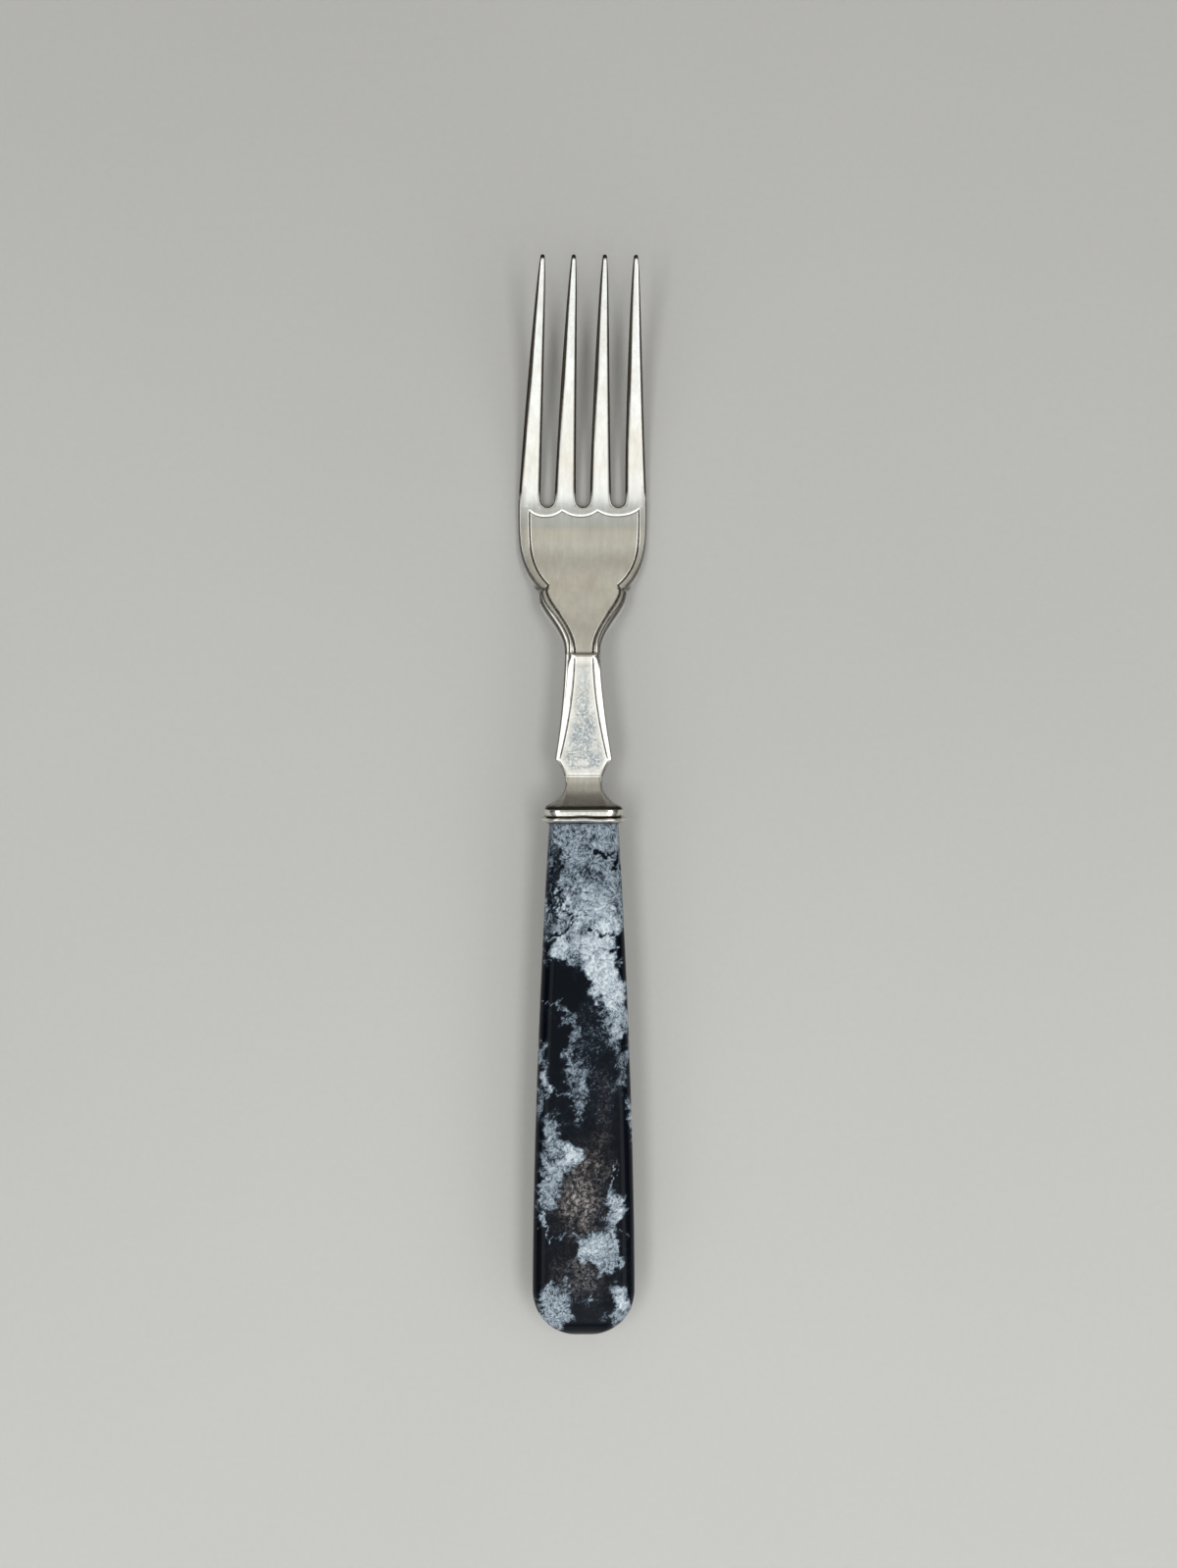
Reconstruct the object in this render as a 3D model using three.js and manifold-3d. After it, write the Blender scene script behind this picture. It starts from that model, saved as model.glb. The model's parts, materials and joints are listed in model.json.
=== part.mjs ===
// A four-tined table fork with a resin handle, as it lies on a table with its back down.
// The struck nickel-silver head, the soldered bolster band and the thin ferrule plate sit on one tang,
// and the tang is set in cement in the handle's socket. Nothing on the fork moves.
//
// Millimetres, +Z up. The pieces are drawn along one axis, with y = 0 at the handle's seat: the handle runs
// to -Y and the head to +Y. The finished fork is then tilted until its butt and its heel touch the table.

import * as THREE from "three";
import { mergeVertices } from "three/addons/utils/BufferGeometryUtils.js";
import Module from "manifold-3d";

const wasm = await Module();
wasm.setup();

// Handle
const handleLength = 91;
const handleSeatWidth = 12.2;
const handleSeatThickness = 10.4;
const handleButtWidth = 18;
const handleButtThickness = 13;
const handleCornerRadius = 2.6;
const buttRoundLength = 9;
const handleSwell = 1.65; // how early the sides reach their full width
const buttFullness = 2.05; // 2 is an ellipse, more is squarer

// Ferrule plate and bolster band, measured out from the handle's seat
const ferruleThickness = 0.95;
const ferruleOverhang = 1.5;
const bandThickness = 1.4;
const bandOverhang = 0.8;
const bandEdgeRound = 0.3;
const ferruleEdgeRound = 0.22;

// Tang, cement and the film that every joint leaves
const tangWidth = 4.4;
const tangThickness = 3.2;
const tangTipWidth = 2.2;
const tangTipThickness = 1.8;
const tangLength = 56;
const tangRootDepth = 2.6;
const cementWall = 0.6;
const cementBelowTang = 2;
const jointFilm = 0.1;

// Bell and shank of the head
const bellInset = 0.25; // the bell's foot stands this far inside the band
const bellHeight = 5.85;
const neckHeight = 4.35;
const kneeHeight = 2.65; // from the bottom of the flat panel to the shank's widest point
const shankLength = 18.45;
const shankThickness = 3.6;
const bellFaceWidth = 8.7; // the bell's front face at its foot
const neckWidth = 6.4;
const neckFaceWidth = 5.9;
const kneeWidth = 10.1;
const kneePanelWidth = 8.4;
const waistWidth = 5.8;
const waistPanelWidth = 2.9;
const borderDepth = 0.35; // drop of the sloping border beside the shank's panel
const shankBevel = 0.8; // drop from the panel to the shank's side
const bellBevel = 2.4;

// Shoulders, bowl and tines of the head
const shoulderLength = 12.2;
const nickWidth = 14.8; // across the face at the small notches above the shoulders
const nickDepth = 0.4;
const nickLength = 0.8;
const bowlLength = 14.3;
const waistFlank = 0.4; // the sides stand out past the face by this
const bowlFlank = 0.25;
const tipFlank = 0.12;
const tineCount = 4;
const tineLength = 42.4;
const tineRootPitch = 6.37;
const tineTipPitch = 5.37;
const tineRootWidth = 3.85;
const tineTipWidth = 0.5;
const tineLean = 0.85; // the tips are set over to +X by this
const nickThickness = 3.1;
const bowlThickness = 2.4;
const tineTipThickness = 0.9;
const bladeBevel = 0.9;
const tipBevel = 0.3;
const backEdgeRound = 0.85;

// Side view of the head
const heelDistance = 23.4; // from the waist to the deepest point of the bowl's face
const heelDepth = 8.8; // of the bowl's face below the handle's axis
const tipRise = 6.2; // of the tine tips' face above the handle's axis
const waistSlope = THREE.MathUtils.degToRad(-15);
const tipSlope = THREE.MathUtils.degToRad(27);
const tiltBlendLength = 4;

// Engraved line round the bowl
const lineWidth = 0.42;
const lineDepth = 0.22;
const lineNickWidth = 12.8; // between the lines at the notches
const lineBowlWidth = 19.7; // between the lines under the tines
const lineBulgeWidth = 13.4; // between the lines just below the notches
const lineWaistWidth = 3.5;
const scallopDepth = 1.15;
const scallopBelowSlots = 0.35;
const lineOvershoot = 0.3;

// Sweep of each curved edge, as the power of an easing curve
const bellSweep = 2.3;
const bellFaceSweep = 2;
const kneeSweep = 1.9;
const shankSweep = 1.5;
const panelSweep = 1.85;
const shoulderSweep = 1.25;
const bowlSweep = 3.6;
const lineSweep = 3.1;
const tineSweep = 0.6;
const leanSweep = 1.4;

// Distances from the handle's seat
const ferruleY = jointFilm;
const bandY = ferruleY + ferruleThickness + jointFilm;
const bellY = bandY + bandThickness + jointFilm;
const neckY = bellY + neckHeight;
const creaseY = bellY + bellHeight;
const kneeY = creaseY + kneeHeight;
const waistY = kneeY + shankLength;
const cuspY = waistY + shoulderLength;
const nickY = cuspY - nickLength;
const slotY = cuspY + bowlLength;
const tipY = slotY + tineLength;
const heelY = waistY + heelDistance;

// Small helpers
const { lerp, clamp } = THREE.MathUtils;
const share = (y, from, to) => clamp((y - from) / (to - from), 0, 1);
const smooth = (u) => u * u * (3 - 2 * u);

function spread(from, to, steps) {
  return Array.from({ length: steps }, (_, i) => lerp(from, to, i / steps));
}

// Value and slope of the cubic that leaves (y0, z0) with slope m0 and reaches (y1, z1) with slope m1.
function cubic(y, [y0, z0, m0], [y1, z1, m1]) {
  const h = y1 - y0;
  const u = (y - y0) / h;
  const z =
    z0 * (1 - u) ** 2 * (1 + 2 * u) + m0 * h * u * (1 - u) ** 2 + z1 * u * u * (3 - 2 * u) - m1 * h * u * u * (1 - u);
  const slope =
    (6 * u * (1 - u) * (z1 - z0)) / h + m0 * (1 - u) * (1 - 3 * u) + m1 * u * (3 * u - 2);
  return { z, slope: Math.atan(slope) };
}

// Closed solid through rings of equal point counts, each running from +X over +Z, in order along +Y.
function loft(rings) {
  const count = rings[0].length;
  const positions = rings.flat().flatMap((p) => [p.x, p.y, p.z]);
  const index = [];
  for (let r = 0; r + 1 < rings.length; r++) {
    for (let k = 0; k < count; k++) {
      const a = r * count + k;
      const b = r * count + ((k + 1) % count);
      index.push(a, a + count, b, b, a + count, b + count);
    }
  }
  const last = (rings.length - 1) * count;
  for (let k = 1; k + 1 < count; k++) {
    index.push(0, k, k + 1, last, last + k + 1, last + k);
  }
  const geometry = new THREE.BufferGeometry();
  geometry.setAttribute("position", new THREE.Float32BufferAttribute(positions, 3));
  return geometry.setIndex(index);
}

function solidOf(geometry) {
  const bare = geometry.clone();
  bare.deleteAttribute("normal");
  bare.deleteAttribute("uv");
  const merged = mergeVertices(bare, 1e-4);
  return new wasm.Manifold(
    new wasm.Mesh({
      numProp: 3,
      vertProperties: new Float32Array(merged.attributes.position.array),
      triVerts: new Uint32Array(merged.index.array),
    }),
  );
}

function geometryOf(solid) {
  const mesh = solid.getMesh();
  const geometry = new THREE.BufferGeometry();
  geometry.setAttribute("position", new THREE.BufferAttribute(mesh.vertProperties, 3));
  return geometry.setIndex(new THREE.BufferAttribute(mesh.triVerts, 1));
}

function cut(geometry, tools) {
  return geometryOf(tools.reduce((left, tool) => left.subtract(solidOf(tool)), solidOf(geometry)));
}

// Head: side view and outline, at distance y from the handle's seat

// Height of the front face above the axis and its slope.
function face(y) {
  const panel = shankThickness / 2;
  if (y < creaseY) {
    const u = share(y, creaseY, bellY);
    return { z: lerp(panel, bellThickness / 2, u ** bellFaceSweep), slope: 0 };
  }
  if (y < waistY) return { z: panel, slope: 0 };
  const heel = [heelY, -heelDepth, 0];
  if (y < heelY) return cubic(y, [waistY, panel, Math.tan(waistSlope)], heel);
  return cubic(y, heel, [tipY, tipRise, Math.tan(tipSlope)]);
}

const bellWidth = handleSeatWidth + 2 * (bandOverhang - bellInset);
const bellThickness = handleSeatThickness + 2 * (bandOverhang - bellInset);

const tinePitch = (y) => lerp(tineRootPitch, tineTipPitch, share(y, slotY, tipY));
const tineWidth = (y) =>
  lerp(tineTipWidth, tineRootWidth, (1 - share(y, slotY, tipY)) ** tineSweep);
const bladeWidth = (y) => (tineCount - 1) * tinePitch(y) + tineWidth(y);
const lean = (y) => tineLean * share(y, slotY, tipY) ** leanSweep;

// How far the sides stand out past the front face.
function flank(y) {
  if (y < cuspY) return lerp(waistFlank, bowlFlank, share(y, waistY, cuspY));
  return lerp(bowlFlank, tipFlank, share(y, slotY, tipY));
}

// Width of the front face from the waist to the tips.
function faceWidth(y) {
  if (y < nickY) {
    const waist = waistWidth - 2 * waistFlank;
    return lerp(waist, nickWidth, smooth(share(y, waistY, nickY) ** shoulderSweep));
  }
  if (y < cuspY) {
    return nickWidth - 2 * nickDepth * (1 - Math.abs(2 * share(y, nickY, cuspY) - 1));
  }
  const blade = bladeWidth(y) - 2 * flank(y);
  return lerp(nickWidth, blade, 1 - (1 - share(y, cuspY, slotY)) ** bowlSweep);
}

function headWidth(y) {
  if (y < neckY) return lerp(neckWidth, bellWidth, share(y, neckY, bellY) ** bellSweep);
  if (y < kneeY) return lerp(neckWidth, kneeWidth, share(y, neckY, kneeY) ** kneeSweep);
  if (y < waistY) return lerp(waistWidth, kneeWidth, share(y, waistY, kneeY) ** shankSweep);
  return faceWidth(y) + 2 * flank(y);
}

// Width between the engraved lines, which the shank's raised panel carries on.
function panelWidth(y) {
  if (y < neckY) return lerp(neckFaceWidth, bellFaceWidth, share(y, neckY, bellY) ** bellSweep);
  if (y < kneeY) return lerp(neckFaceWidth, kneePanelWidth, share(y, neckY, kneeY) ** kneeSweep);
  if (y < waistY) return lerp(waistPanelWidth, kneePanelWidth, share(y, waistY, kneeY) ** panelSweep);
  if (y < cuspY) {
    return lerp(lineWaistWidth, lineBulgeWidth, smooth(share(y, waistY, cuspY) ** shoulderSweep));
  }
  return lerp(lineNickWidth, lineBowlWidth, 1 - (1 - share(y, cuspY, slotY)) ** lineSweep);
}

function headThickness(y) {
  if (y < waistY) return 2 * face(y).z;
  if (y < cuspY) return lerp(shankThickness, nickThickness, share(y, waistY, cuspY));
  if (y < slotY) return lerp(nickThickness, bowlThickness, smooth(share(y, cuspY, slotY)));
  return lerp(bowlThickness, tineTipThickness, share(y, slotY, tipY));
}

// Right half of a section, from the back to the front face: distance from the middle and depth below the face.
// The shank has the same raised panel, sloping border and bevel on both faces.
function shankHalf(y) {
  const thickness = headThickness(y);
  const side = headWidth(y) / 2;
  const panel = panelWidth(y) / 2;
  const front = [
    [side, lerp(shankBevel, bellBevel, share(y, neckY, bellY))],
    [side - Math.min(waistFlank, (side - panel) / 2), borderDepth],
    [panel, 0],
  ];
  const back = front.map(([x, depth]) => [x, thickness - depth]).reverse();
  return [...back, ...front];
}

// The blade has a flat face with bevelled sides and a rounder back edge.
function bladeHalf(y) {
  const thickness = headThickness(y);
  const side = headWidth(y) / 2;
  const border = side - flank(y);
  const back = Math.min(backEdgeRound, thickness / 3);
  const bevel = Math.min(lerp(bladeBevel, tipBevel, share(y, slotY, tipY)), thickness / 2);
  const drop = borderDepth * (1 - smooth(share(y, waistY, waistY + tiltBlendLength)));
  return [
    [side - 2 * back, thickness],
    [side - back / 2, thickness - back / 3],
    [side, thickness - back],
    [side, bevel],
    [border, drop],
    [Math.min(panelWidth(y) / 2, border - flank(y)), 0],
  ];
}

// Sections stand square to the axis up to the waist, then turn until they stand square to the face.
function headRing(y) {
  const { z, slope } = face(y);
  const tilt = slope * smooth(share(y, waistY, waistY + tiltBlendLength));
  const half = y < waistY ? shankHalf(y) : bladeHalf(y);
  const mirrored = half.map(([x, depth]) => [-x, depth]).reverse();
  return [...half, ...mirrored].map(
    ([x, depth]) => new THREE.Vector3(x + lean(y), y + depth * Math.sin(tilt), z - depth * Math.cos(tilt)),
  );
}

// One slot between two tines, as a prism through the blade: a half-round root and sides along the tines.
function slotTool(place) {
  const halfWidth = (y) => (tinePitch(y) - tineWidth(y)) / 2;
  const middle = (y) => place * tinePitch(y) + lean(y);
  const rootY = slotY + halfWidth(slotY);
  const stations = [...spread(rootY, tipY, 20), tipY, tipY + tineTipThickness * 2];
  const outline = new THREE.Shape();
  outline.absarc(middle(rootY), rootY, halfWidth(rootY), Math.PI, 2 * Math.PI, false);
  stations.forEach((y) => outline.lineTo(middle(y) + halfWidth(y), y));
  stations.reverse().forEach((y) => outline.lineTo(middle(y) - halfWidth(y), y));
  const reach = heelDepth + tipRise + shankThickness;
  const prism = new THREE.ExtrudeGeometry(outline, { depth: 2 * reach, bevelEnabled: false, curveSegments: 10 });
  return prism.translate(0, 0, -reach);
}

// One pass of a V-shaped graver along plan points [x, y] on the face.
function graverTool(points) {
  const at = points.map(([x, y]) => new THREE.Vector3(x, y, face(y).z));
  const rings = at.map((p, i) => {
    const along = new THREE.Vector3().subVectors(at[Math.min(i + 1, at.length - 1)], at[Math.max(i - 1, 0)]);
    const { slope } = face(p.y);
    const up = new THREE.Vector3(0, -Math.sin(slope), Math.cos(slope));
    const across = new THREE.Vector3().crossVectors(along, up).setLength(lineWidth);
    const lift = up.clone().multiplyScalar(lineDepth);
    return [p.clone().add(across).add(lift), p.clone().sub(across).add(lift), p.clone().sub(lift)];
  });
  return loft(rings);
}

// The line follows the bowl's edge, steps at the notches, and hangs in one scallop under each slot.
function engravedLines() {
  const steps = 16;
  const scallopY = slotY - scallopBelowSlots;
  const upperYs = [...spread(cuspY, scallopY, steps), scallopY];
  const lowerYs = [...spread(waistY + lineWidth, cuspY - lineOvershoot, steps), cuspY - lineOvershoot];
  const sides = [1, -1].flatMap((side) =>
    [upperYs, lowerYs].map((ys) => ys.map((y) => [(side * panelWidth(y)) / 2, y])),
  );
  const scallops = tineCount - 1;
  const pitch = lineBowlWidth / scallops;
  const arcs = Array.from({ length: scallops }, (_, i) => {
    const middle = (i - (scallops - 1) / 2) * pitch;
    return [...spread(-1, 1, steps), 1].map((u) => [
      middle + (u * pitch) / 2,
      scallopY - scallopDepth * (1 - u * u),
    ]);
  });
  return [...sides, ...arcs];
}

// Tang: a tapered square spike, `grow` wider all round where it is the pocket for itself

function rectangleRing(y, width, thickness) {
  return [
    new THREE.Vector3(width / 2, y, -thickness / 2),
    new THREE.Vector3(width / 2, y, thickness / 2),
    new THREE.Vector3(-width / 2, y, thickness / 2),
    new THREE.Vector3(-width / 2, y, -thickness / 2),
  ];
}

function tangGeometry(grow = 0) {
  const tipChamfer = Math.min(tangTipWidth, tangTipThickness);
  const ring = (y, width, thickness) => rectangleRing(y, width + 2 * grow, thickness + 2 * grow);
  return loft([
    ring(-tangLength - grow, tangTipWidth / 2, tangTipThickness / 2),
    ring(-tangLength + tipChamfer, tangTipWidth, tangTipThickness),
    ring(0, tangWidth, tangThickness),
    ring(bellY + tangRootDepth + grow, tangWidth, tangThickness),
  ]);
}

function headGeometry() {
  const stations = [
    ...spread(bellY, creaseY, 9),
    ...spread(creaseY, kneeY, 5),
    ...spread(kneeY, waistY - lineWidth, 8),
    waistY - lineWidth,
    ...spread(waistY, nickY, 14),
    nickY,
    (nickY + cuspY) / 2,
    ...spread(cuspY, slotY, 14),
    ...spread(slotY, tipY, 24),
    tipY - tineTipWidth / 2,
    tipY,
  ];
  const slots = Array.from({ length: tineCount - 1 }, (_, i) => slotTool(i + 1 - tineCount / 2));
  const tools = [...slots, ...engravedLines().map(graverTool), tangGeometry(jointFilm)];
  return cut(loft(stations.map(headRing)), tools);
}

// Bolster band and ferrule plate: rounded plates with a hole for the tang

function roundedRectangle(width, thickness, radius) {
  const x = width / 2 - radius;
  const y = thickness / 2 - radius;
  const outline = new THREE.Shape();
  outline.absarc(x, y, radius, 0, Math.PI / 2);
  outline.absarc(-x, y, radius, Math.PI / 2, Math.PI);
  outline.absarc(-x, -y, radius, Math.PI, 1.5 * Math.PI);
  outline.absarc(x, -y, radius, 1.5 * Math.PI, 2 * Math.PI);
  return outline;
}

// The plate lies across the axis, from y to y + thickness, and stands out past the handle's seat by overhang.
function plateGeometry(y, thickness, overhang, edgeRound) {
  const outline = roundedRectangle(
    handleSeatWidth + 2 * (overhang - edgeRound),
    handleSeatThickness + 2 * (overhang - edgeRound),
    handleCornerRadius + overhang - edgeRound,
  );
  const plate = new THREE.ExtrudeGeometry(outline, {
    depth: thickness - 2 * edgeRound,
    bevelThickness: edgeRound,
    bevelSize: edgeRound,
    bevelSegments: 3,
    curveSegments: 7,
  });
  plate.translate(0, 0, edgeRound).rotateX(-Math.PI / 2).translate(0, y, 0);
  return cut(plate, [tangGeometry(jointFilm)]);
}

// Handle, its drilled socket and the cement in it

const socketRadius = Math.hypot(tangWidth, tangThickness) / 2 + jointFilm + cementWall;
const socketDepth = tangLength + cementBelowTang;

// A drilled hole's form, from top down, `shrink` smaller all round where it is the cement that fills it.
function socketGeometry(top, shrink = 0) {
  const radius = socketRadius - shrink;
  const profile = [
    new THREE.Vector2(0, -socketDepth - radius / 2 + shrink),
    new THREE.Vector2(radius, -socketDepth + shrink),
    new THREE.Vector2(radius, top),
    new THREE.Vector2(0, top),
  ];
  return new THREE.LatheGeometry(profile, 24);
}

function cementGeometry() {
  return cut(socketGeometry(-jointFilm, jointFilm), [tangGeometry(jointFilm)]);
}

function handleRing(y) {
  const u = share(y, 0, buttRoundLength - handleLength);
  const end = share(y, -handleLength, buttRoundLength - handleLength);
  const rounding = (1 - (1 - end) ** buttFullness) ** (1 / buttFullness);
  const width = rounding * lerp(handleButtWidth, handleSeatWidth, (1 - u) ** handleSwell);
  const thickness = rounding * lerp(handleSeatThickness, handleButtThickness, u);
  const outline = roundedRectangle(width, thickness, rounding * handleCornerRadius);
  return outline.getPoints(5).slice(0, -1).map((p) => new THREE.Vector3(p.x, y, p.y));
}

function handleGeometry() {
  const roundSteps = 10;
  const butt = Array.from({ length: roundSteps }, (_, i) => {
    const angle = ((i + 0.4) / roundSteps) * (Math.PI / 2);
    return -handleLength + buttRoundLength * (1 - Math.cos(angle));
  });
  const stations = [...butt, ...spread(buttRoundLength - handleLength, 0, 12), 0];
  return cut(loft(stations.map(handleRing)), [socketGeometry(jointFilm)]);
}

// Assembly

const silver = { color: 0xb9b7ad, roughness: 0.28, metalness: 1 };
const materials = {
  head: new THREE.MeshStandardMaterial(silver),
  fittings: new THREE.MeshStandardMaterial({ ...silver, color: 0xa9a592, roughness: 0.35 }),
  tang: new THREE.MeshStandardMaterial({ color: 0x6d6a64, roughness: 0.6, metalness: 1 }),
  cement: new THREE.MeshStandardMaterial({ color: 0x5a4636, roughness: 0.8, metalness: 0 }),
  handle: new THREE.MeshStandardMaterial({ color: 0x3b4350, roughness: 0.2, metalness: 0 }),
};

function piece(name, geometry, material) {
  const flat = geometry.toNonIndexed();
  flat.computeVertexNormals();
  const mesh = new THREE.Mesh(flat, material);
  mesh.name = name;
  return mesh;
}

const head = piece("fork_head", headGeometry(), materials.head);
const handle = piece("handle", handleGeometry(), materials.handle);
const band = plateGeometry(bandY, bandThickness, bandOverhang, bandEdgeRound);
const ferrule = plateGeometry(ferruleY, ferruleThickness, ferruleOverhang, ferruleEdgeRound);

const fork = new THREE.Group();
fork.add(
  head,
  piece("bolster_band", band, materials.fittings),
  piece("ferrule_plate", ferrule, materials.fittings),
  piece("tang", tangGeometry(), materials.tang),
  piece("tang_cement", cementGeometry(), materials.cement),
  handle,
);

// Rest on the table: the butt of the handle and the heel of the bowl come down together.

function lowest(mesh, tilt) {
  const { array } = mesh.geometry.attributes.position;
  let least = Infinity;
  for (let i = 0; i < array.length; i += 3) {
    least = Math.min(least, array[i + 1] * Math.sin(tilt) + array[i + 2] * Math.cos(tilt));
  }
  return least;
}

function restingTilt() {
  let [low, high] = [-Math.PI / 6, Math.PI / 6];
  for (let i = 0; i < 50; i++) {
    const middle = (low + high) / 2;
    if (lowest(head, middle) < lowest(handle, middle)) low = middle;
    else high = middle;
  }
  return (low + high) / 2;
}

fork.rotation.x = restingTilt();
fork.position.z = -Math.min(lowest(head, fork.rotation.x), lowest(handle, fork.rotation.x));

const table = new THREE.Group();
table.add(fork);
table.updateMatrixWorld(true);
const extent = new THREE.Box3().setFromObject(table, true);
fork.position.y = -(extent.min.y + extent.max.y) / 2;

export default table;
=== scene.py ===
# %% [markdown]
# # A table fork with a marbled resin handle
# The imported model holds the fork's solids: a struck head, a bolster band, a ferrule plate, a tang in its cement and
# a handle. They are exact but plain. This lesson lays a smooth, engraved and worn surface over each visible solid,
# gives every piece its finish, and takes the photograph's view from straight above.

# %% Load the frame
import json
import math
import bmesh
import bpy
import numpy as np
from mathutils import Matrix, Vector


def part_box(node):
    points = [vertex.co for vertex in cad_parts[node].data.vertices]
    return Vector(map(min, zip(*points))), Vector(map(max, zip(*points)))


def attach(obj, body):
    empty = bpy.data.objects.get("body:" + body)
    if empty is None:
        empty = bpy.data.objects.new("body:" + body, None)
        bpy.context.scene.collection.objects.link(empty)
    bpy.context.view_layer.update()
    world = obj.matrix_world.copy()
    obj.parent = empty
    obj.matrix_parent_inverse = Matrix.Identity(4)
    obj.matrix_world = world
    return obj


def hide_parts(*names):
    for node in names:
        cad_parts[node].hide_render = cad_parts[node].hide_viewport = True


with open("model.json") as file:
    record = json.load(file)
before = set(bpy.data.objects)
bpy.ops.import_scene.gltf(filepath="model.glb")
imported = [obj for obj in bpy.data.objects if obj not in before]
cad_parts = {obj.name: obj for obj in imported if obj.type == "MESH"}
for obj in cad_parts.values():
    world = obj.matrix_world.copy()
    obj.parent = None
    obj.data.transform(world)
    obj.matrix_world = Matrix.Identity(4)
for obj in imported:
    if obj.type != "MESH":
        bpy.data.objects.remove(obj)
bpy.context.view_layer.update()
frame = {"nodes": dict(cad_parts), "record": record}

print("nodes:", sorted(frame["nodes"]))

# %% [markdown]
# ## The fork's own axis
# A maker draws a fork along its handle, not along the table. So every surface below is worked out in millimetres
# on the fork's axis, with y = 0 at the handle's seat, and one turn and one shift lay it on the table. The turn comes
# from the flat back of the handle, which the record gives as a mount, less that back's own taper. The shift comes
# from the middle of the bolster band, a piece that is the same on both sides of the axis.

# %% Small curves that every piece shares
MM = 0.001


def share(y, start, end):
    """How far y has come on the way from start to end, held between 0 and 1."""
    return np.clip((y - start) / (end - start), 0.0, 1.0)


def blend(a, b, u):
    """Straight-line blend from a at u = 0 to b at u = 1."""
    return a + (b - a) * u


def smooth(u):
    """S-shaped blend, 3u squared less 2u cubed, level at both ends."""
    return u * u * (3 - 2 * u)


def span(y, start, full, fading, end):
    """0 up to start, 1 from full to fading, 0 again from end on, with straight slopes between them."""
    return share(y, start, full) * share(y, end, fading)


def hump(y, middle, width):
    """1 at the middle, dying away on both sides as a bell curve of the given width."""
    return np.exp(-(((y - middle) / width) ** 2))


def run(start, end, count):
    """Even steps from start up to, but without, end."""
    return np.linspace(start, end, count, endpoint=False)


# %% Lengths along the axis and where the axis lies
FILM = 0.1
FERRULE_THICKNESS = 0.95
BAND_THICKNESS = 1.4
FERRULE_Y = FILM
BAND_Y = FERRULE_Y + FERRULE_THICKNESS + FILM
BELL_Y = BAND_Y + BAND_THICKNESS + FILM
NECK_Y = BELL_Y + 4.35
CREASE_Y = BELL_Y + 5.85
KNEE_Y = CREASE_Y + 2.65
WAIST_Y = KNEE_Y + 18.45
CUSP_Y = WAIST_Y + 12.2
NICK_Y = CUSP_Y - 0.8
SLOT_Y = CUSP_Y + 14.3
TIP_Y = SLOT_Y + 42.4

HANDLE_LENGTH = 91
SEAT_WIDTH, SEAT_THICKNESS = 12.2, 10.4
BUTT_WIDTH, BUTT_THICKNESS = 18, 13
BUTT_ROUND = 9
BUTT_FULLNESS = 2.05

back_normal = frame["record"]["mounts"][0]["axis"]
back_taper = math.atan((BUTT_THICKNESS - SEAT_THICKNESS) / 2 / (HANDLE_LENGTH - BUTT_ROUND))
TILT = math.asin(back_normal[1]) - back_taper
band_low, band_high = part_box("bolster_band")
band_middle = (band_low + band_high) / 2 / MM
AXIS_Y = band_middle.y - (BAND_Y + BAND_THICKNESS / 2) * math.cos(TILT)
AXIS_Z = band_middle.z - (BAND_Y + BAND_THICKNESS / 2) * math.sin(TILT)


def on_table(points):
    """Axis millimetres to table metres: turned by TILT about X, then shifted along Y and Z."""
    x, y, z = np.moveaxis(np.asarray(points, float), -1, 0)
    turned = (x, y * math.cos(TILT) - z * math.sin(TILT) + AXIS_Y, y * math.sin(TILT) + z * math.cos(TILT) + AXIS_Z)
    return np.stack(turned, -1) * MM


print(f"tilt {math.degrees(TILT):.2f} degrees, axis from y {AXIS_Y:.2f} and z {AXIS_Z:.2f} mm")

# %% [markdown]
# ## Camera
# The photograph looks straight down from a little under half a metre, slightly from the left. The lens is worked out
# from the picture itself: how many pixels one radian spans, against the picture's long side.

# %% Camera above the fork
PICTURE_LONG_SIDE = 1599
FOCAL_PIXELS = 2546
SENSOR_WIDTH = 36
NEAREST_SEEN = 0.01
CAMERA_PLACE = Vector((-0.00794, 0.0029, 0.450))
CAMERA_TARGET = Vector((0.00106, 0.0029, 0.0))


def facing(place, target):
    """Turn that looks from place to target with +Y as the upper side of the view."""
    forward = (target - place).normalized()
    right = forward.cross(Vector((0, 1, 0))).normalized()
    return Matrix((right, right.cross(forward), -forward)).transposed().to_euler()


camera_data = bpy.data.cameras.new("camera_above")
camera_data.sensor_width = SENSOR_WIDTH
camera_data.lens = FOCAL_PIXELS / PICTURE_LONG_SIDE * SENSOR_WIDTH
camera_data.clip_start = NEAREST_SEEN
camera = bpy.data.objects.new("camera_above", camera_data)
camera.location = CAMERA_PLACE
camera.rotation_euler = facing(CAMERA_PLACE, CAMERA_TARGET)
bpy.context.collection.objects.link(camera)
bpy.context.scene.camera = camera
bpy.context.scene.view_settings.view_transform = "Standard"
print(f"lens {camera_data.lens:.1f} mm")

# %% [markdown]
# ## Nodes in plain words
# A finish is a small network of nodes, and so is the light of the room. Writing each node in three lines hides what
# the network means, so two classes give short words for the nodes: one for any network, one for a material.

# %% A network, a material and their words


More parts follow.
